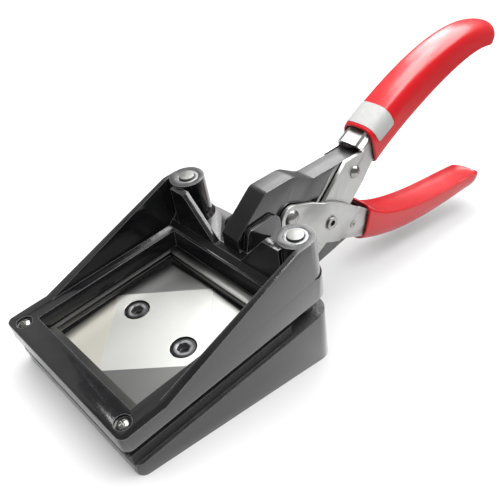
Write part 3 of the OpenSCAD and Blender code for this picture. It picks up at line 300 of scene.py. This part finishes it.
def strokes(nodes, given):
    """Long fine scratches left by grinding or rolling, turned about the upright."""
    place = nodes.add("ShaderNodeTexCoord").outputs["Object"]
    turn = nodes.add("ShaderNodeVectorRotate", {"rotation_type": "Z_AXIS"}, Vector=place, Angle=given["Turn"])
    long = nodes.math("DIVIDE", given["Scale"], given["Stretch"])
    stretch = nodes.add("ShaderNodeCombineXYZ", X=given["Scale"], Y=long, Z=long)
    scaled = nodes.add("ShaderNodeVectorMath", {"operation": "MULTIPLY"})
    nodes.feed(scaled.inputs[0], turn.outputs["Vector"])
    nodes.feed(scaled.inputs[1], stretch.outputs["Vector"])
    course = scaled.outputs["Vector"]
    noise = nodes.add("ShaderNodeTexNoise", Vector=course, Scale=1.0, Detail=3.0, Roughness=0.6)
    return {"Value": nodes.span(noise.outputs["Fac"], 0.25, 0.75)}


def painted_edge_highlights(nodes, given):
    """One along the edges of a piece, where a painted highlight lightens the enamel, zero elsewhere."""
    rounded = nodes.add("ShaderNodeBevel", {"samples": 6}, Radius=given["Radius"]).outputs["Normal"]
    flat = nodes.add("ShaderNodeNewGeometry").outputs["Normal"]
    bend = nodes.math("SUBTRACT", 1.0, nodes.dot(rounded, flat))
    return {"Mask": nodes.span(bend, 0.02, 0.2)}


MOTTLE = group("cloudy_tone", {"Scale": 60.0, "Low": 0.0, "High": 1.0}, ["Value"], mottle)
GRAIN = group("fine_grain", {"Scale": 900.0, "Fine": 0.3}, ["Height"], grain)
EDGE_HIGHLIGHT = group("painted_edge_highlights", {"Radius": 0.5 * MM}, ["Mask"], painted_edge_highlights)
STROKES = group("grind_strokes", {"Scale": 4000.0, "Stretch": 40.0, "Turn": 0.0}, ["Value"], strokes)


class Finish:
    """One procedural material with its Principled shader."""

    def __init__(self, name, **constants):
        self.material = bpy.data.materials.new(name)
        self.material.use_nodes = True
        self.nodes = Tree(self.material.node_tree)
        output = self.nodes.add("ShaderNodeOutputMaterial")
        self.shader = self.nodes.add("ShaderNodeBsdfPrincipled", **constants)
        self.nodes.feed(output.inputs["Surface"], self.shader.outputs["BSDF"])

    def effect(self, tree, output, **values):
        """One output of a node group that is placed here with its own values."""
        node = self.nodes.add("ShaderNodeGroup", {"node_tree": tree}, **values)
        return node.outputs[output]

    def cloud(self, scale, low=0.0, high=1.0):
        return self.effect(MOTTLE, "Value", Scale=scale, Low=low, High=high)

    def grain(self, scale, fine):
        return self.effect(GRAIN, "Height", Scale=scale, Fine=fine)

    def strokes(self, scale, stretch, turn):
        return self.effect(STROKES, "Value", Scale=scale, Stretch=stretch, Turn=turn)

    def place(self):
        return self.nodes.add("ShaderNodeTexCoord").outputs["Object"]

    def measured(self, axis):
        """Distance from the middle of the die face along an axis of the cutting frame."""
        return self.nodes.math("SUBTRACT", self.nodes.dot(self.place(), axis), CUT_ORIGIN.dot(axis))

    def facing(self, axis):
        """How squarely a face looks along an axis, from minus one to one."""
        return self.nodes.dot(self.nodes.add("ShaderNodeNewGeometry").outputs["Normal"], axis)

    def upright(self):
        """One on faces that look sideways, zero on those that look up, back or ahead."""
        return self.nodes.math("ABSOLUTE", self.facing(CUT_SIDE))

    def bounced(self):
        """One for light on its way to another dull surface, zero for what is seen or mirrored."""
        return self.nodes.add("ShaderNodeLightPath").outputs["Is Diffuse Ray"]

    def mirrored(self):
        """One for what is seen in a glossy surface, zero elsewhere."""
        return self.nodes.add("ShaderNodeLightPath").outputs["Is Glossy Ray"]

    def seen(self):
        """One for what the camera sees directly, zero elsewhere."""
        return self.nodes.add("ShaderNodeLightPath").outputs["Is Camera Ray"]

    def set_colour(self, value):
        self.nodes.feed(self.shader.inputs["Base Color"], value)

    def set_coat(self, value):
        self.nodes.feed(self.shader.inputs["Coat Weight"], value)

    def set_roughness(self, value):
        self.nodes.feed(self.shader.inputs["Roughness"], value)

    def set_glow(self, value):
        self.nodes.feed(self.shader.inputs["Emission Color"], value)

    def set_bump(self, height, depth):
        node = self.nodes.add("ShaderNodeBump", Height=height, Strength=1.0, Distance=depth)
        self.nodes.feed(self.shader.inputs["Normal"], node.outputs["Normal"])


class Enamel(Finish):
    """Black enamel with a cloudy tone, thick on sideways faces, with a painted highlight along the edges."""

    PEEL_DEPTH = 0.04 * MM

    def __init__(self, name):
        super().__init__(name, Coat_Roughness=0.06, IOR=1.45)
        nodes = self.nodes
        self.level = nodes.span(self.facing(CUT_UP), 0.5, 0.85)
        self.thick = nodes.span(self.upright(), 0.5, 0.95, to_low=0.12)
        self.set_coat(self.thick)
        black = nodes.blend(self.cloud(70.0), ENAMEL_DARK, ENAMEL_LIGHT)
        # painted highlight: the enamel is lightened along every edge
        self.black = nodes.blend(self.effect(EDGE_HIGHLIGHT, "Mask"), black, ENAMEL_EDGE_HIGHLIGHT)
        self.set_colour(self.black)

    def gloss(self):
        """Roughness of the enamel where it is smooth."""
        return self.cloud(160.0, low=0.10, high=0.16)

    def peel(self):
        """Faint orange peel."""
        return self.grain(420.0, fine=0.35)


def black_paint(name, satin_from):
    """Glossy enamel with level faces above a height of the cutting frame left satin."""
    finish = Enamel(name)
    nodes = finish.nodes
    high = nodes.span(finish.measured(CUT_UP), satin_from, satin_from + LEVEL_BLEND)
    satin = nodes.math("MULTIPLY", nodes.math("MULTIPLY", finish.level, high), 0.28)
    finish.set_roughness(nodes.math("ADD", finish.gloss(), satin))
    finish.set_bump(finish.peel(), Enamel.PEEL_DEPTH)
    return finish.material


def dull_paint():
    """Enamel of the lower jaw, rougher than the rest below its coat."""
    finish = Enamel("black_enamel_dull")
    finish.set_roughness(finish.cloud(160.0, low=0.5, high=0.62))
    finish.set_bump(finish.grain(700.0, fine=0.5), 0.05 * MM)
    return finish.material


def cast_paint():
    """Enamel over the lower casting, thin and gritty on its unmachined deck and worn at the rear."""
    finish = Enamel("black_enamel_over_casting")
    nodes = finish.nodes
    deck = nodes.span(finish.measured(CUT_UP), LOWER_DECK - DECK_LOW, LOWER_DECK - DECK_HIGH)
    finish.set_coat(nodes.math("MULTIPLY", finish.thick, nodes.math("SUBTRACT", 1.0, deck)))
    gritty = finish.cloud(900.0, low=0.3, high=0.6)
    finish.set_roughness(nodes.span(deck, 0.0, 1.0, finish.gloss(), gritty))
    coarse = nodes.math("MULTIPLY", deck, 6.0)
    grit = nodes.math("MULTIPLY", finish.grain(1300.0, fine=0.8), coarse)
    finish.set_bump(nodes.math("ADD", finish.peel(), grit), Enamel.PEEL_DEPTH)
    rear = nodes.span(finish.measured(CUT_BACK), BARE_FROM, BARE_FROM + BARE_BLEND)
    bare = nodes.math("MULTIPLY", deck, rear)
    speckle = nodes.math("MULTIPLY", bare, finish.cloud(1100.0, low=0.15))
    finish.set_colour(nodes.blend(speckle, finish.black, CASTING_BARE))
    return finish.material


def ground_steel(name, tone_of):
    """Surface-ground tool steel with a fine lay; tone_of(nodes, side, back) gives its tone over the head."""
    finish = Finish(name, Metallic=1.0)
    nodes = finish.nodes
    tone = tone_of(nodes, finish.measured(CUT_SIDE), finish.measured(CUT_BACK))
    lines = finish.strokes(5200.0, stretch=60.0, turn=0.35)
    shaded = nodes.blend(nodes.math("MULTIPLY", lines, 0.05), tone, GRIND_LINE)
    finish.set_colour(nodes.blend(finish.cloud(45.0, high=0.08), shaded, GRIND_CLOUD))
    finish.set_roughness(nodes.span(lines, 0.0, 1.0, 0.30, 0.36))
    finish.set_bump(lines, 0.0012 * MM)
    return finish.material


def punch_painted_reflections(nodes, side, back):
    """Each facet of the punch gets a painted reflection, a tone of its own for the light it mirrors, which
    brightens towards the right on the middle and rear left facets.
    """

    def past_corner(reach):
        return nodes.span(reach, PUNCH_HALF, PUNCH_HALF + FACET_BLEND)

    def painted_brightening(run, tones):
        start, end = run
        return nodes.blend(nodes.span(side, start * PUNCH_HALF, end * PUNCH_HALF), *tones)

    rear_left = past_corner(nodes.math("SUBTRACT", back, side))
    front_right = past_corner(nodes.math("SUBTRACT", side, back))
    rear_right = past_corner(nodes.math("ADD", side, back))
    front_left = nodes.span(nodes.math("ADD", side, back), -PUNCH_HALF, -PUNCH_HALF - FACET_BLEND)
    # painted reflection, brightening towards the right
    middle = painted_brightening(MIDDLE_RUN, MIDDLE_REFLECTION_TONES)
    tone = nodes.blend(rear_left, middle, painted_brightening(REAR_LEFT_RUN, REAR_LEFT_REFLECTION_TONES))
    tone = nodes.blend(front_right, tone, FRONT_RIGHT_REFLECTION)
    tone = nodes.blend(rear_right, tone, REAR_RIGHT_REFLECTION)
    return nodes.blend(front_left, tone, FRONT_LEFT_REFLECTION)


def die_painted_shade_and_reflection(nodes, side, back):
    """The die has painted shade on its left and front ledges and past the rear end of its strip, and a
    painted reflection on the strip that brightens towards the right.
    """
    # painted shade on the ledges, painted reflection on the strip
    left = nodes.span(side, -PUNCH_HALF, -DIE_LEDGE * PUNCH_HALF)
    front = nodes.span(back, -PUNCH_HALF, -DIE_LEDGE * PUNCH_HALF)
    strip = nodes.blend(nodes.span(side, -PUNCH_HALF, PUNCH_HALF), *DIE_STRIP_REFLECTION_TONES)
    strip_end = DIE_STRIP_END * PUNCH_HALF
    strip = nodes.blend(nodes.span(back, strip_end, strip_end + DIE_FADE), strip, DIE_PAINTED_SHADE)
    return nodes.blend(nodes.math("MULTIPLY", left, front), DIE_PAINTED_SHADE, strip)


def sheet_steel():
    """Satin sheet of the levers with faint rolling lines, and a painted highlight that makes its bent back
    brighter.
    """
    finish = Finish("satin_sheet_steel", Metallic=1.0)
    nodes = finish.nodes
    lines = finish.strokes(2600.0, stretch=30.0, turn=1.2)
    cloud = finish.cloud(90.0)
    # painted highlight on the bent back of the upper lever
    rear = nodes.span(finish.measured(CUT_BACK), BENT_FROM, BENT_FROM + BENT_BLEND)
    bent = nodes.math("MULTIPLY", rear, nodes.span(finish.upright(), 0.9, 0.6))
    tone = nodes.blend(bent, nodes.blend(cloud, *FLANK_TONES), nodes.blend(cloud, *BENT_BACK_HIGHLIGHT_TONES))
    finish.set_colour(nodes.blend(nodes.math("MULTIPLY", lines, 0.15), tone, ROLLING_LINE))
    finish.set_roughness(nodes.span(cloud, 0.0, 1.0, 0.38, 0.5))
    finish.set_bump(finish.grain(700.0, fine=0.4), 0.012 * MM)
    return finish.material


class CloudedMetal(Finish):
    """A metal whose tone and roughness change together in clouds of a scale."""

    def __init__(self, name, metallic, scale, tones, smooth, rough):
        super().__init__(name, Metallic=metallic)
        cloud = self.cloud(scale)
        self.tone = self.nodes.blend(cloud, *tones)
        self.set_colour(self.tone)
        self.set_roughness(self.nodes.span(cloud, 0.0, 1.0, smooth, rough))


def plated_steel():
    """Bright plated steel of the rivets, pins, seats and die screws."""
    finish = CloudedMetal("bright_plated_steel", 1.0, 260.0, PLATED_TONES, smooth=0.2, rough=0.34)
    finish.set_bump(finish.grain(1500.0, fine=0.5), 0.008 * MM)
    return finish.material


def post_steel():
    """Dull turned steel of the guide posts."""
    finish = CloudedMetal("turned_post_steel", 1.0, 420.0, POST_TONES, smooth=0.4, rough=0.5)
    finish.set_bump(finish.grain(1300.0, fine=0.5), 0.012 * MM)
    return finish.material


def oxide_steel():
    """Blackened steel of the jaw screws, the bushes and the spacer."""
    finish = CloudedMetal("blackened_steel", 0.6, 300.0, OXIDE_TONES, smooth=0.3, rough=0.46)
    finish.set_bump(finish.grain(1800.0, fine=0.6), 0.01 * MM)
    return finish.material


def spring_wire():
    """Drawn wire of the return springs."""
    return CloudedMetal("spring_wire", 1.0, 400.0, SPRING_TONES, smooth=0.25, rough=0.4).material


def socket_steel():
    """Screws in the punch face: cloudy top, with painted shade in the socket and a black ring of painted
    shadow at the rim.
    """
    finish = CloudedMetal("socket_screw_steel", 0.6, 500.0, SCREW_TOP_TONES, smooth=0.3, rough=0.46)
    nodes = finish.nodes
    aside = nodes.math("SUBTRACT", nodes.math("ABSOLUTE", finish.measured(CUT_SIDE)), PUNCH_SCREW_X)
    back = finish.measured(CUT_BACK)
    square = nodes.math("ADD", nodes.math("MULTIPLY", aside, aside), nodes.math("MULTIPLY", back, back))
    radius = nodes.math("SQRT", square)
    # painted shade in the socket and painted shadow round the rim of the head
    black = nodes.math("MAXIMUM", nodes.span(radius, *RIM_START), nodes.span(radius, *SOCKET_START))
    finish.set_colour(nodes.blend(black, finish.tone, SCREW_PAINTED_SHADE))
    finish.set_bump(finish.grain(1800.0, fine=0.6), 0.01 * MM)
    return finish.material


def red_vinyl():
    """Soft dipped vinyl, glossy, with slow flow marks of the dip and painted shade in its hollows."""
    finish = Finish("red_dipped_vinyl", IOR=1.48)
    nodes = finish.nodes
    red = nodes.blend(finish.cloud(38.0), *VINYL_TONES)
    # painted shade: ambient occlusion darkens the red in hollows
    open_air = nodes.add("ShaderNodeAmbientOcclusion", {"samples": 6}, Distance=HOLLOW).outputs["AO"]
    red = nodes.blend(nodes.span(open_air, 0.3, 1.0), VINYL_HOLLOW_SHADE, red)
    finish.set_colour(nodes.blend(finish.bounced(), red, VINYL_BOUNCE))
    finish.set_roughness(finish.cloud(120.0, low=0.2, high=0.27))
    finish.set_bump(finish.grain(260.0, fine=0.15), 0.05 * MM)
    return finish.material


def label_paper():
    """Bare matt paper of the label."""
    finish = Finish("label_paper")
    finish.set_colour(finish.nodes.blend(finish.cloud(500.0), *LABEL_TONES))
    finish.set_roughness(finish.cloud(240.0, low=0.45, high=0.62))
    finish.set_bump(finish.grain(2200.0, fine=0.5), 0.01 * MM)
    return finish.material


# Finish of each material slot, and of the pieces that differ from their slot
FINISHES = {
    "black_paint": black_paint("black_enamel", BOSS_TOP - BOSS_MARGIN),
    "ground_steel": ground_steel("ground_steel", punch_painted_reflections),
    "black_oxide": oxide_steel(),
    "bright_steel": plated_steel(),
    "spring_steel": spring_wire(),
    "lever_steel": sheet_steel(),
    "red_vinyl": red_vinyl(),
    "label_paper": label_paper(),
}
OWN_FINISH = {
    "lower_frame": cast_paint(),
    "upper_jaw": black_paint("black_enamel_satin", 0.0),
    "lower_jaw": dull_paint(),
    "guide_posts": post_steel(),
    "punch_screws": socket_steel(),
    "die_plate": ground_steel("ground_die_steel", die_painted_shade_and_reflection),
}

# Edge radius of each rigid piece, in millimetres, and its material slot
EDGES = {
    "upper_frame": (0.8, "black_paint"),
    "lower_frame": (0.8, "black_paint"),
    "upper_jaw": (0.8, "black_paint"),
    "lower_jaw": (0.8, "black_paint"),
    "punch": (0.08, "ground_steel"),
    "die_plate": (0.08, "ground_steel"),
    "punch_screws": (0.55, "black_oxide"),
    "upper_jaw_screws": (0.3, "black_oxide"),
    "lower_jaw_screws": (0.3, "black_oxide"),
    "guide_bushes": (0.15, "black_oxide"),
    "pivot_spacer": (0.15, "black_oxide"),
    "guide_posts": (0.35, "bright_steel"),
    "spring_seats": (0.1, "bright_steel"),
    "die_front_screws": (0.12, "bright_steel"),
    "die_rear_screws": (0.08, "bright_steel"),
    "lower_front_rivet": (0.1, "bright_steel"),
    "upper_front_rivet": (0.1, "bright_steel"),
    "upper_slide_pin": (0.1, "bright_steel"),
    "lower_slide_pin": (0.1, "bright_steel"),
    "main_pivot": (0.15, "bright_steel"),
    "upper_handle": (0.22, "lever_steel"),
    "lower_handle": (0.22, "lever_steel"),
}


def body_of(node):
    """The moving body that a CAD node belongs to."""
    for body, members in frame["record"]["behaviour"]["bodies"].items():
        if node in members:
            return body
    return None


def dress(piece, node, slot, material=None):
    """Gives a piece its finish and lets it stand for a CAD node on that node's body."""
    piece.data.materials.clear()
    piece.data.materials.append(material or FINISHES[slot])
    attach(piece, body_of(node))
    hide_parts(node)


def softened(node, width, slot, material=None, facet=NO_FACET):
    """A copy of a CAD node with its edges rounded as the real piece has them; it stands for the node."""
    mesh = frame["nodes"][node].data.copy()
    work = bmesh.new()
    work.from_mesh(mesh)
    bmesh.ops.remove_doubles(work, verts=work.verts, dist=WELD)
    bmesh.ops.dissolve_limit(work, angle_limit=FLAT_ANGLE, verts=work.verts, edges=work.edges)
    for edge in work.edges:
        edge.smooth = edge.calc_face_angle(0.0) < facet
    work.to_mesh(mesh)
    work.free()
    piece = bpy.data.objects.new(node + "_finished", mesh)
    bpy.context.scene.collection.objects.link(piece)
    rounding = piece.modifiers.new("rounding", "BEVEL")
    rounding.width = width
    rounding.segments = ROUND_SEGMENTS
    rounding.limit_method = "ANGLE"
    rounding.angle_limit = ROUND_ANGLE
    rounding.use_clamp_overlap = True
    rounding.miter_outer = "MITER_ARC"
    piece.modifiers.new("normals", "WEIGHTED_NORMAL").keep_sharp = True
    depsgraph = bpy.context.evaluated_depsgraph_get()
    final = bpy.data.meshes.new_from_object(piece.evaluated_get(depsgraph))
    piece.modifiers.clear()
    piece.data = final
    final.shade_smooth()
    final.set_sharp_from_angle(angle=min(CREASE_ANGLE, facet))
    dress(piece, node, slot, material)
    return piece


def rigid_pieces():
    """The castings, jaws, punch, die, levers, posts, rivets and screws."""
    for node, (radius, slot) in EDGES.items():
        facet = PUNCH_FACET if node == "punch" else NO_FACET
        softened(node, radius * MM, slot, OWN_FINISH.get(node), facet)


def return_springs():
    """The return springs stand on their seats."""
    springs = softened("return_springs", SPRING_EDGE, "spring_steel")
    rises = [vert.co.dot(CUT_UP) for vert in springs.data.vertices]
    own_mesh(springs)


def cut_point(x, y, z):
    """A point of the cutting frame in the table's frame."""
    return CUT_ORIGIN + Vector((x, 0, 0)) + CUT_BACK * y + CUT_UP * z


def signed_power(value, power):
    """A power of a value's size that keeps its sign."""
    return math.copysign(abs(value) ** power, value)


class GripForm:
    """Course and section of a grip: a cubic curve in the middle plane with a squared oval round it.

    Lengths are in millimetres and turns in degrees; bend holds the curve's points as shares of the length.
    """

    def __init__(self, start, length, bend, half, belly, side, lip_back, lip_turn):
        self.curve = [(Vector(start) + length * Vector(share)) * MM for share in bend]
        self.half = half * MM
        self.belly = belly * MM
        self.side = side
        self.lip_at = cut_point(0, (start[0] + lip_back) * MM, start[1] * MM)
        turn = math.radians(lip_turn)
        self.inward = CUT_BACK * -math.sin(turn) + CUT_UP * math.cos(turn)

    def at(self, t):
        """The point of the curve at a share of its course."""
        a, b, c, d = self.curve
        return a * (1 - t) ** 3 + b * 3 * t * (1 - t) ** 2 + c * 3 * t * t * (1 - t) + d * t ** 3

    def along(self, t):
        """The direction and pace of the curve there."""
        a, b, c, d = self.curve
        return ((b - a) * (1 - t) ** 2 + (c - b) * 2 * t * (1 - t) + (d - c) * t * t) * 3

    def height(self, t):
        """From the curve to the grip's back."""
        return self.half - TIP_LOWER * t + self.swell(t)

    def swell(self, t):
        """Bulge in the middle of the course."""
        return self.belly * math.sin(math.pi * t)

    def rim(self, t):
        """From the curve to the edges of the finger groove."""
        return self.half - RIM_DROP * (1 - (1 - t) ** 2) + RIM_SWELL * self.swell(t)

    def groove(self, t):
        """Depth of the finger groove."""
        return GROOVE * (1 - (1 - min(1.0, t / GROOVE_RUN)) ** 2)

    def back_power(self, t):
        """Squareness of the back, which is round at the tip."""
        return BACK_POWER + (1 - BACK_POWER) * t ** 3

    def ring(self, t, angles, grow=0.0):
        """Points round the section at a share of the course, moved out by grow."""
        tip = max(0.0, (t - TIP_START) / (1 - TIP_START))
        cap = math.sqrt(max(TIP_FLOOR, 1 - tip * tip))
        wide = (GRIP_HALF_WIDTH - TIP_NARROW * t * t) * cap + grow
        back = self.height(t) * cap + grow
        rim = self.rim(t) * cap + grow
        at = self.at(t)
        way = self.along(t).normalized()
        points = []
        for angle in angles:
            inner = math.sin(angle) < FINGER_SIDE
            power = 1 - (1 - RIM_POWER) * cap if inner else self.back_power(t)
            x = wide * signed_power(math.cos(angle), power)
            rise = (rim if inner else back) * signed_power(math.sin(angle), power)
            if inner:
                rise += self.groove(t) * cap * (1 - (x / wide) ** GROOVE_POWER)
            rise *= self.side
            points.append(cut_point(x, at.x - rise * way.y, at.y + rise * way.x))
        return points


UPPER_GRIP = GripForm(
    start=(104.5, 14.4), length=96, half=8.5, belly=1.8, side=1, lip_back=3.8, lip_turn=-79.6,
    bend=((0, 0), (0.3177, 0.149), (0.7656, 0.28), (0.968, 0.124)))
LOWER_GRIP = GripForm(
    start=(101.5, -18.1), length=96.5, half=8.6, belly=0.3, side=-1, lip_back=2.2, lip_turn=-108,
    bend=((0, 0), (0.3264, -0.215), (0.7306, -0.205), (1, -0.284)))


def bridge(work, rings, closed):
    """Quads between neighbouring rings of vertices."""
    for near, far in zip(rings, rings[1:]):
        count = len(near)
        for i in range(count if closed else count - 1):
            j = (i + 1) % count
            work.faces.new((near[i], near[j], far[j], far[i]))


def placed_mesh(name, work):
    """A smooth piece in the scene from a finished bmesh."""
    bmesh.ops.recalc_face_normals(work, faces=work.faces)
    mesh = bpy.data.meshes.new(name)
    work.to_mesh(mesh)
    work.free()
    mesh.shade_smooth()
    piece = bpy.data.objects.new(name, mesh)
    bpy.context.scene.collection.objects.link(piece)
    return piece


def shifted_rim(work, edges, centre, inward, sink, draw_in):
    """Extrudes the open rim of a grip, moved into the grip by sink and towards its middle by draw_in."""
    made = bmesh.ops.extrude_edge_only(work, edges=edges)["geom"]
    for vert in (item for item in made if isinstance(item, bmesh.types.BMVert)):
        aside = centre - vert.co
        aside -= inward * aside.dot(inward)
        vert.co += inward * sink + aside.normalized() * draw_in
    return [item for item in made if isinstance(item, bmesh.types.BMEdge) and item.is_boundary]


def grip_stops():
    """Shares of the course at which a grip has a ring, closer together round its tip."""
    body = [TIP_START * i / GRIP_RINGS for i in range(GRIP_RINGS)]
    turns = [math.pi / 2 * i / TIP_RINGS for i in range(TIP_RINGS + 1)]
    return body + [TIP_START + (1 - TIP_START) * math.sin(turn) for turn in turns]


def grip_skin(node, form):
    """Dipped vinyl grip: lofted body, beaded lip and an open mouth round the lever."""
    angles = [2 * math.pi * k / RING_POINTS for k in range(RING_POINTS)]
    work = bmesh.new()
    rings = [[work.verts.new(p) for p in form.ring(t, angles)] for t in grip_stops()]
    bridge(work, rings, True)
    work.faces.new(rings[-1])
    start = form.lip_at + form.inward * LIP_BEAD
    bmesh.ops.bisect_plane(work, geom=work.verts[:] + work.edges[:] + work.faces[:], plane_co=start,
                           plane_no=form.inward, clear_inner=True)
    rim = [edge for edge in work.edges if edge.is_boundary]
    sunk = drawn = 0.0
    for step in range(1, BEAD_STEPS + 1):
        turn = math.pi * step / BEAD_STEPS
        sink = -LIP_BEAD * math.sin(turn)
        draw = LIP_BEAD * (1 - math.cos(turn))
        rim = shifted_rim(work, rim, start, form.inward, sink - sunk, draw - drawn)
        sunk, drawn = sink, draw
    rim = shifted_rim(work, rim, start, form.inward, MOUTH_DEPTH, 0.0)
    bmesh.ops.contextual_create(work, geom=rim)
    dress(placed_mesh(node + "_skin", work), node, "red_vinyl")


def label_skin(form):
    """Paper label wrapped over the back of a grip, with rounded corners."""
    share = LABEL_LENGTH / form.along(LABEL_START).length
    outer, inner = [], []
    work = bmesh.new()
    for i in range(LABEL_RINGS + 1):
        t = LABEL_START + share * i / LABEL_RINGS
        end = min(i, LABEL_RINGS - i) * LABEL_LENGTH / LABEL_RINGS
        cut = max(0.0, LABEL_CORNER - end)
        low = LABEL_LOW + LABEL_CORNER - math.sqrt(LABEL_CORNER ** 2 - cut ** 2)
        first = math.asin((low / form.height(t)) ** (1 / form.back_power(t)))
        angles = [first + (math.pi - 2 * first) * k / RING_POINTS for k in range(RING_POINTS + 1)]
        outer.append([work.verts.new(p) for p in form.ring(t, angles, LABEL_THICK)])
        inner.append([work.verts.new(p) for p in form.ring(t, angles)])
    bridge(work, outer, False)
    bridge(work, inner, False)
    for pair in ((outer[0], inner[0]), (outer[-1], inner[-1])):
        bridge(work, pair, False)
    for edge in (0, -1):
        bridge(work, ([ring[edge] for ring in outer], [ring[edge] for ring in inner]), False)
    piece = placed_mesh("size_label_skin", work)
    piece.data.set_sharp_from_angle(angle=LABEL_CREASE)
    dress(piece, "size_label", "label_paper")


def floor_finish():
    """Pale floor, dim in glossy faces away from the cutter, that passes into the backdrop far off."""
    finish = Finish("pale_floor", Roughness=0.7, Specular_IOR_Level=0.0, Emission_Strength=BACKDROP)
    nodes = finish.nodes
    pale = nodes.blend(finish.cloud(3.0), *FLOOR_TONES)
    distance = nodes.add("ShaderNodeVectorMath", {"operation": "DISTANCE"})
    nodes.feed(distance.inputs[0], finish.place())
    nodes.feed(distance.inputs[1], CUTTER_MIDDLE)
    away = distance.outputs["Value"]
    loss = nodes.span(away, MIRROR_NEAR, MIRROR_FAR, to_high=MIRROR_LOSS)
    dim = nodes.blend(nodes.math("MULTIPLY", loss, finish.mirrored()), pale, BLACK)
    lit = nodes.blend(finish.bounced(), dim, FLOOR_BOUNCE)
    horizon = nodes.math("MULTIPLY", nodes.span(away, HORIZON_NEAR, HORIZON_FAR), finish.seen())
    finish.set_colour(nodes.blend(horizon, lit, BLACK))
    finish.set_glow(nodes.blend(horizon, BLACK, WHITE))
    return finish.material


def studio_floor():
    """A wide floor under the cutter."""
    corners = [(x * FLOOR_HALF, y * FLOOR_HALF, 0) for x, y in ((-1, -1), (1, -1), (1, 1), (-1, 1))]
    mesh = bpy.data.meshes.new("studio_floor")
    mesh.from_pydata(corners, [], [(0, 1, 2, 3)])
    mesh.materials.append(floor_finish())
    floor = bpy.data.objects.new("studio_floor", mesh)
    bpy.context.scene.collection.objects.link(floor)


def softbox(name, direction, distance, size, radiance, mirrored=True):
    """A rectangular light that faces the cutter and is either seen in gloss or lights dull faces."""
    light = bpy.data.lights.new(name, "AREA")
    light.shape = "RECTANGLE"
    light.size, light.size_y = size
    light.energy = radiance * math.pi * size[0] * size[1]
    lamp = bpy.data.objects.new(name, light)
    bpy.context.scene.collection.objects.link(lamp)
    way = Vector(direction).normalized()
    lamp.location = CUTTER_MIDDLE + way * distance
    lamp.rotation_mode = "QUATERNION"
    lamp.rotation_quaternion = way.to_track_quat("Z", "Y")
    lamp.visible_glossy = mirrored
    lamp.visible_diffuse = not mirrored


def studio_light():
    """A pale backdrop, bright where it is seen itself, and the softboxes."""
    world = bpy.data.worlds.new("studio")
    world.use_nodes = True
    nodes = Tree(world.node_tree)
    seen = nodes.add("ShaderNodeLightPath").outputs["Is Camera Ray"]
    strength = nodes.span(seen, 0.0, 1.0, AMBIENT, BACKDROP)
    backdrop = nodes.add("ShaderNodeBackground", Color=WHITE, Strength=strength)
    output = nodes.add("ShaderNodeOutputWorld")
    nodes.feed(output.inputs["Surface"], backdrop.outputs["Background"])
    bpy.context.scene.world = world
    for name, settings in SOFTBOXES.items():
        softbox(name, **settings)


def photo_camera():
    """The camera at the photograph's place and angle."""
    camera = bpy.data.cameras.new("photo_camera")
    camera.sensor_width = SENSOR_WIDTH
    camera.lens = SENSOR_WIDTH * FOCAL_PIXELS / PHOTO_WIDTH
    camera.clip_start = CAMERA_CLIP
    holder = bpy.data.objects.new("photo_camera", camera)
    bpy.context.scene.collection.objects.link(holder)
    turn = Matrix((CAMERA_RIGHT, CAMERA_UP, CAMERA_BACK)).transposed().to_4x4()
    holder.matrix_world = Matrix.Translation(CAMERA_AT) @ turn
    bpy.context.scene.camera = holder


rigid_pieces()
return_springs()
grip_skin("upper_grip", UPPER_GRIP)
grip_skin("lower_grip", LOWER_GRIP)
label_skin(UPPER_GRIP)
studio_floor()
studio_light()
photo_camera()
bpy.context.scene.view_settings.view_transform = "Standard"
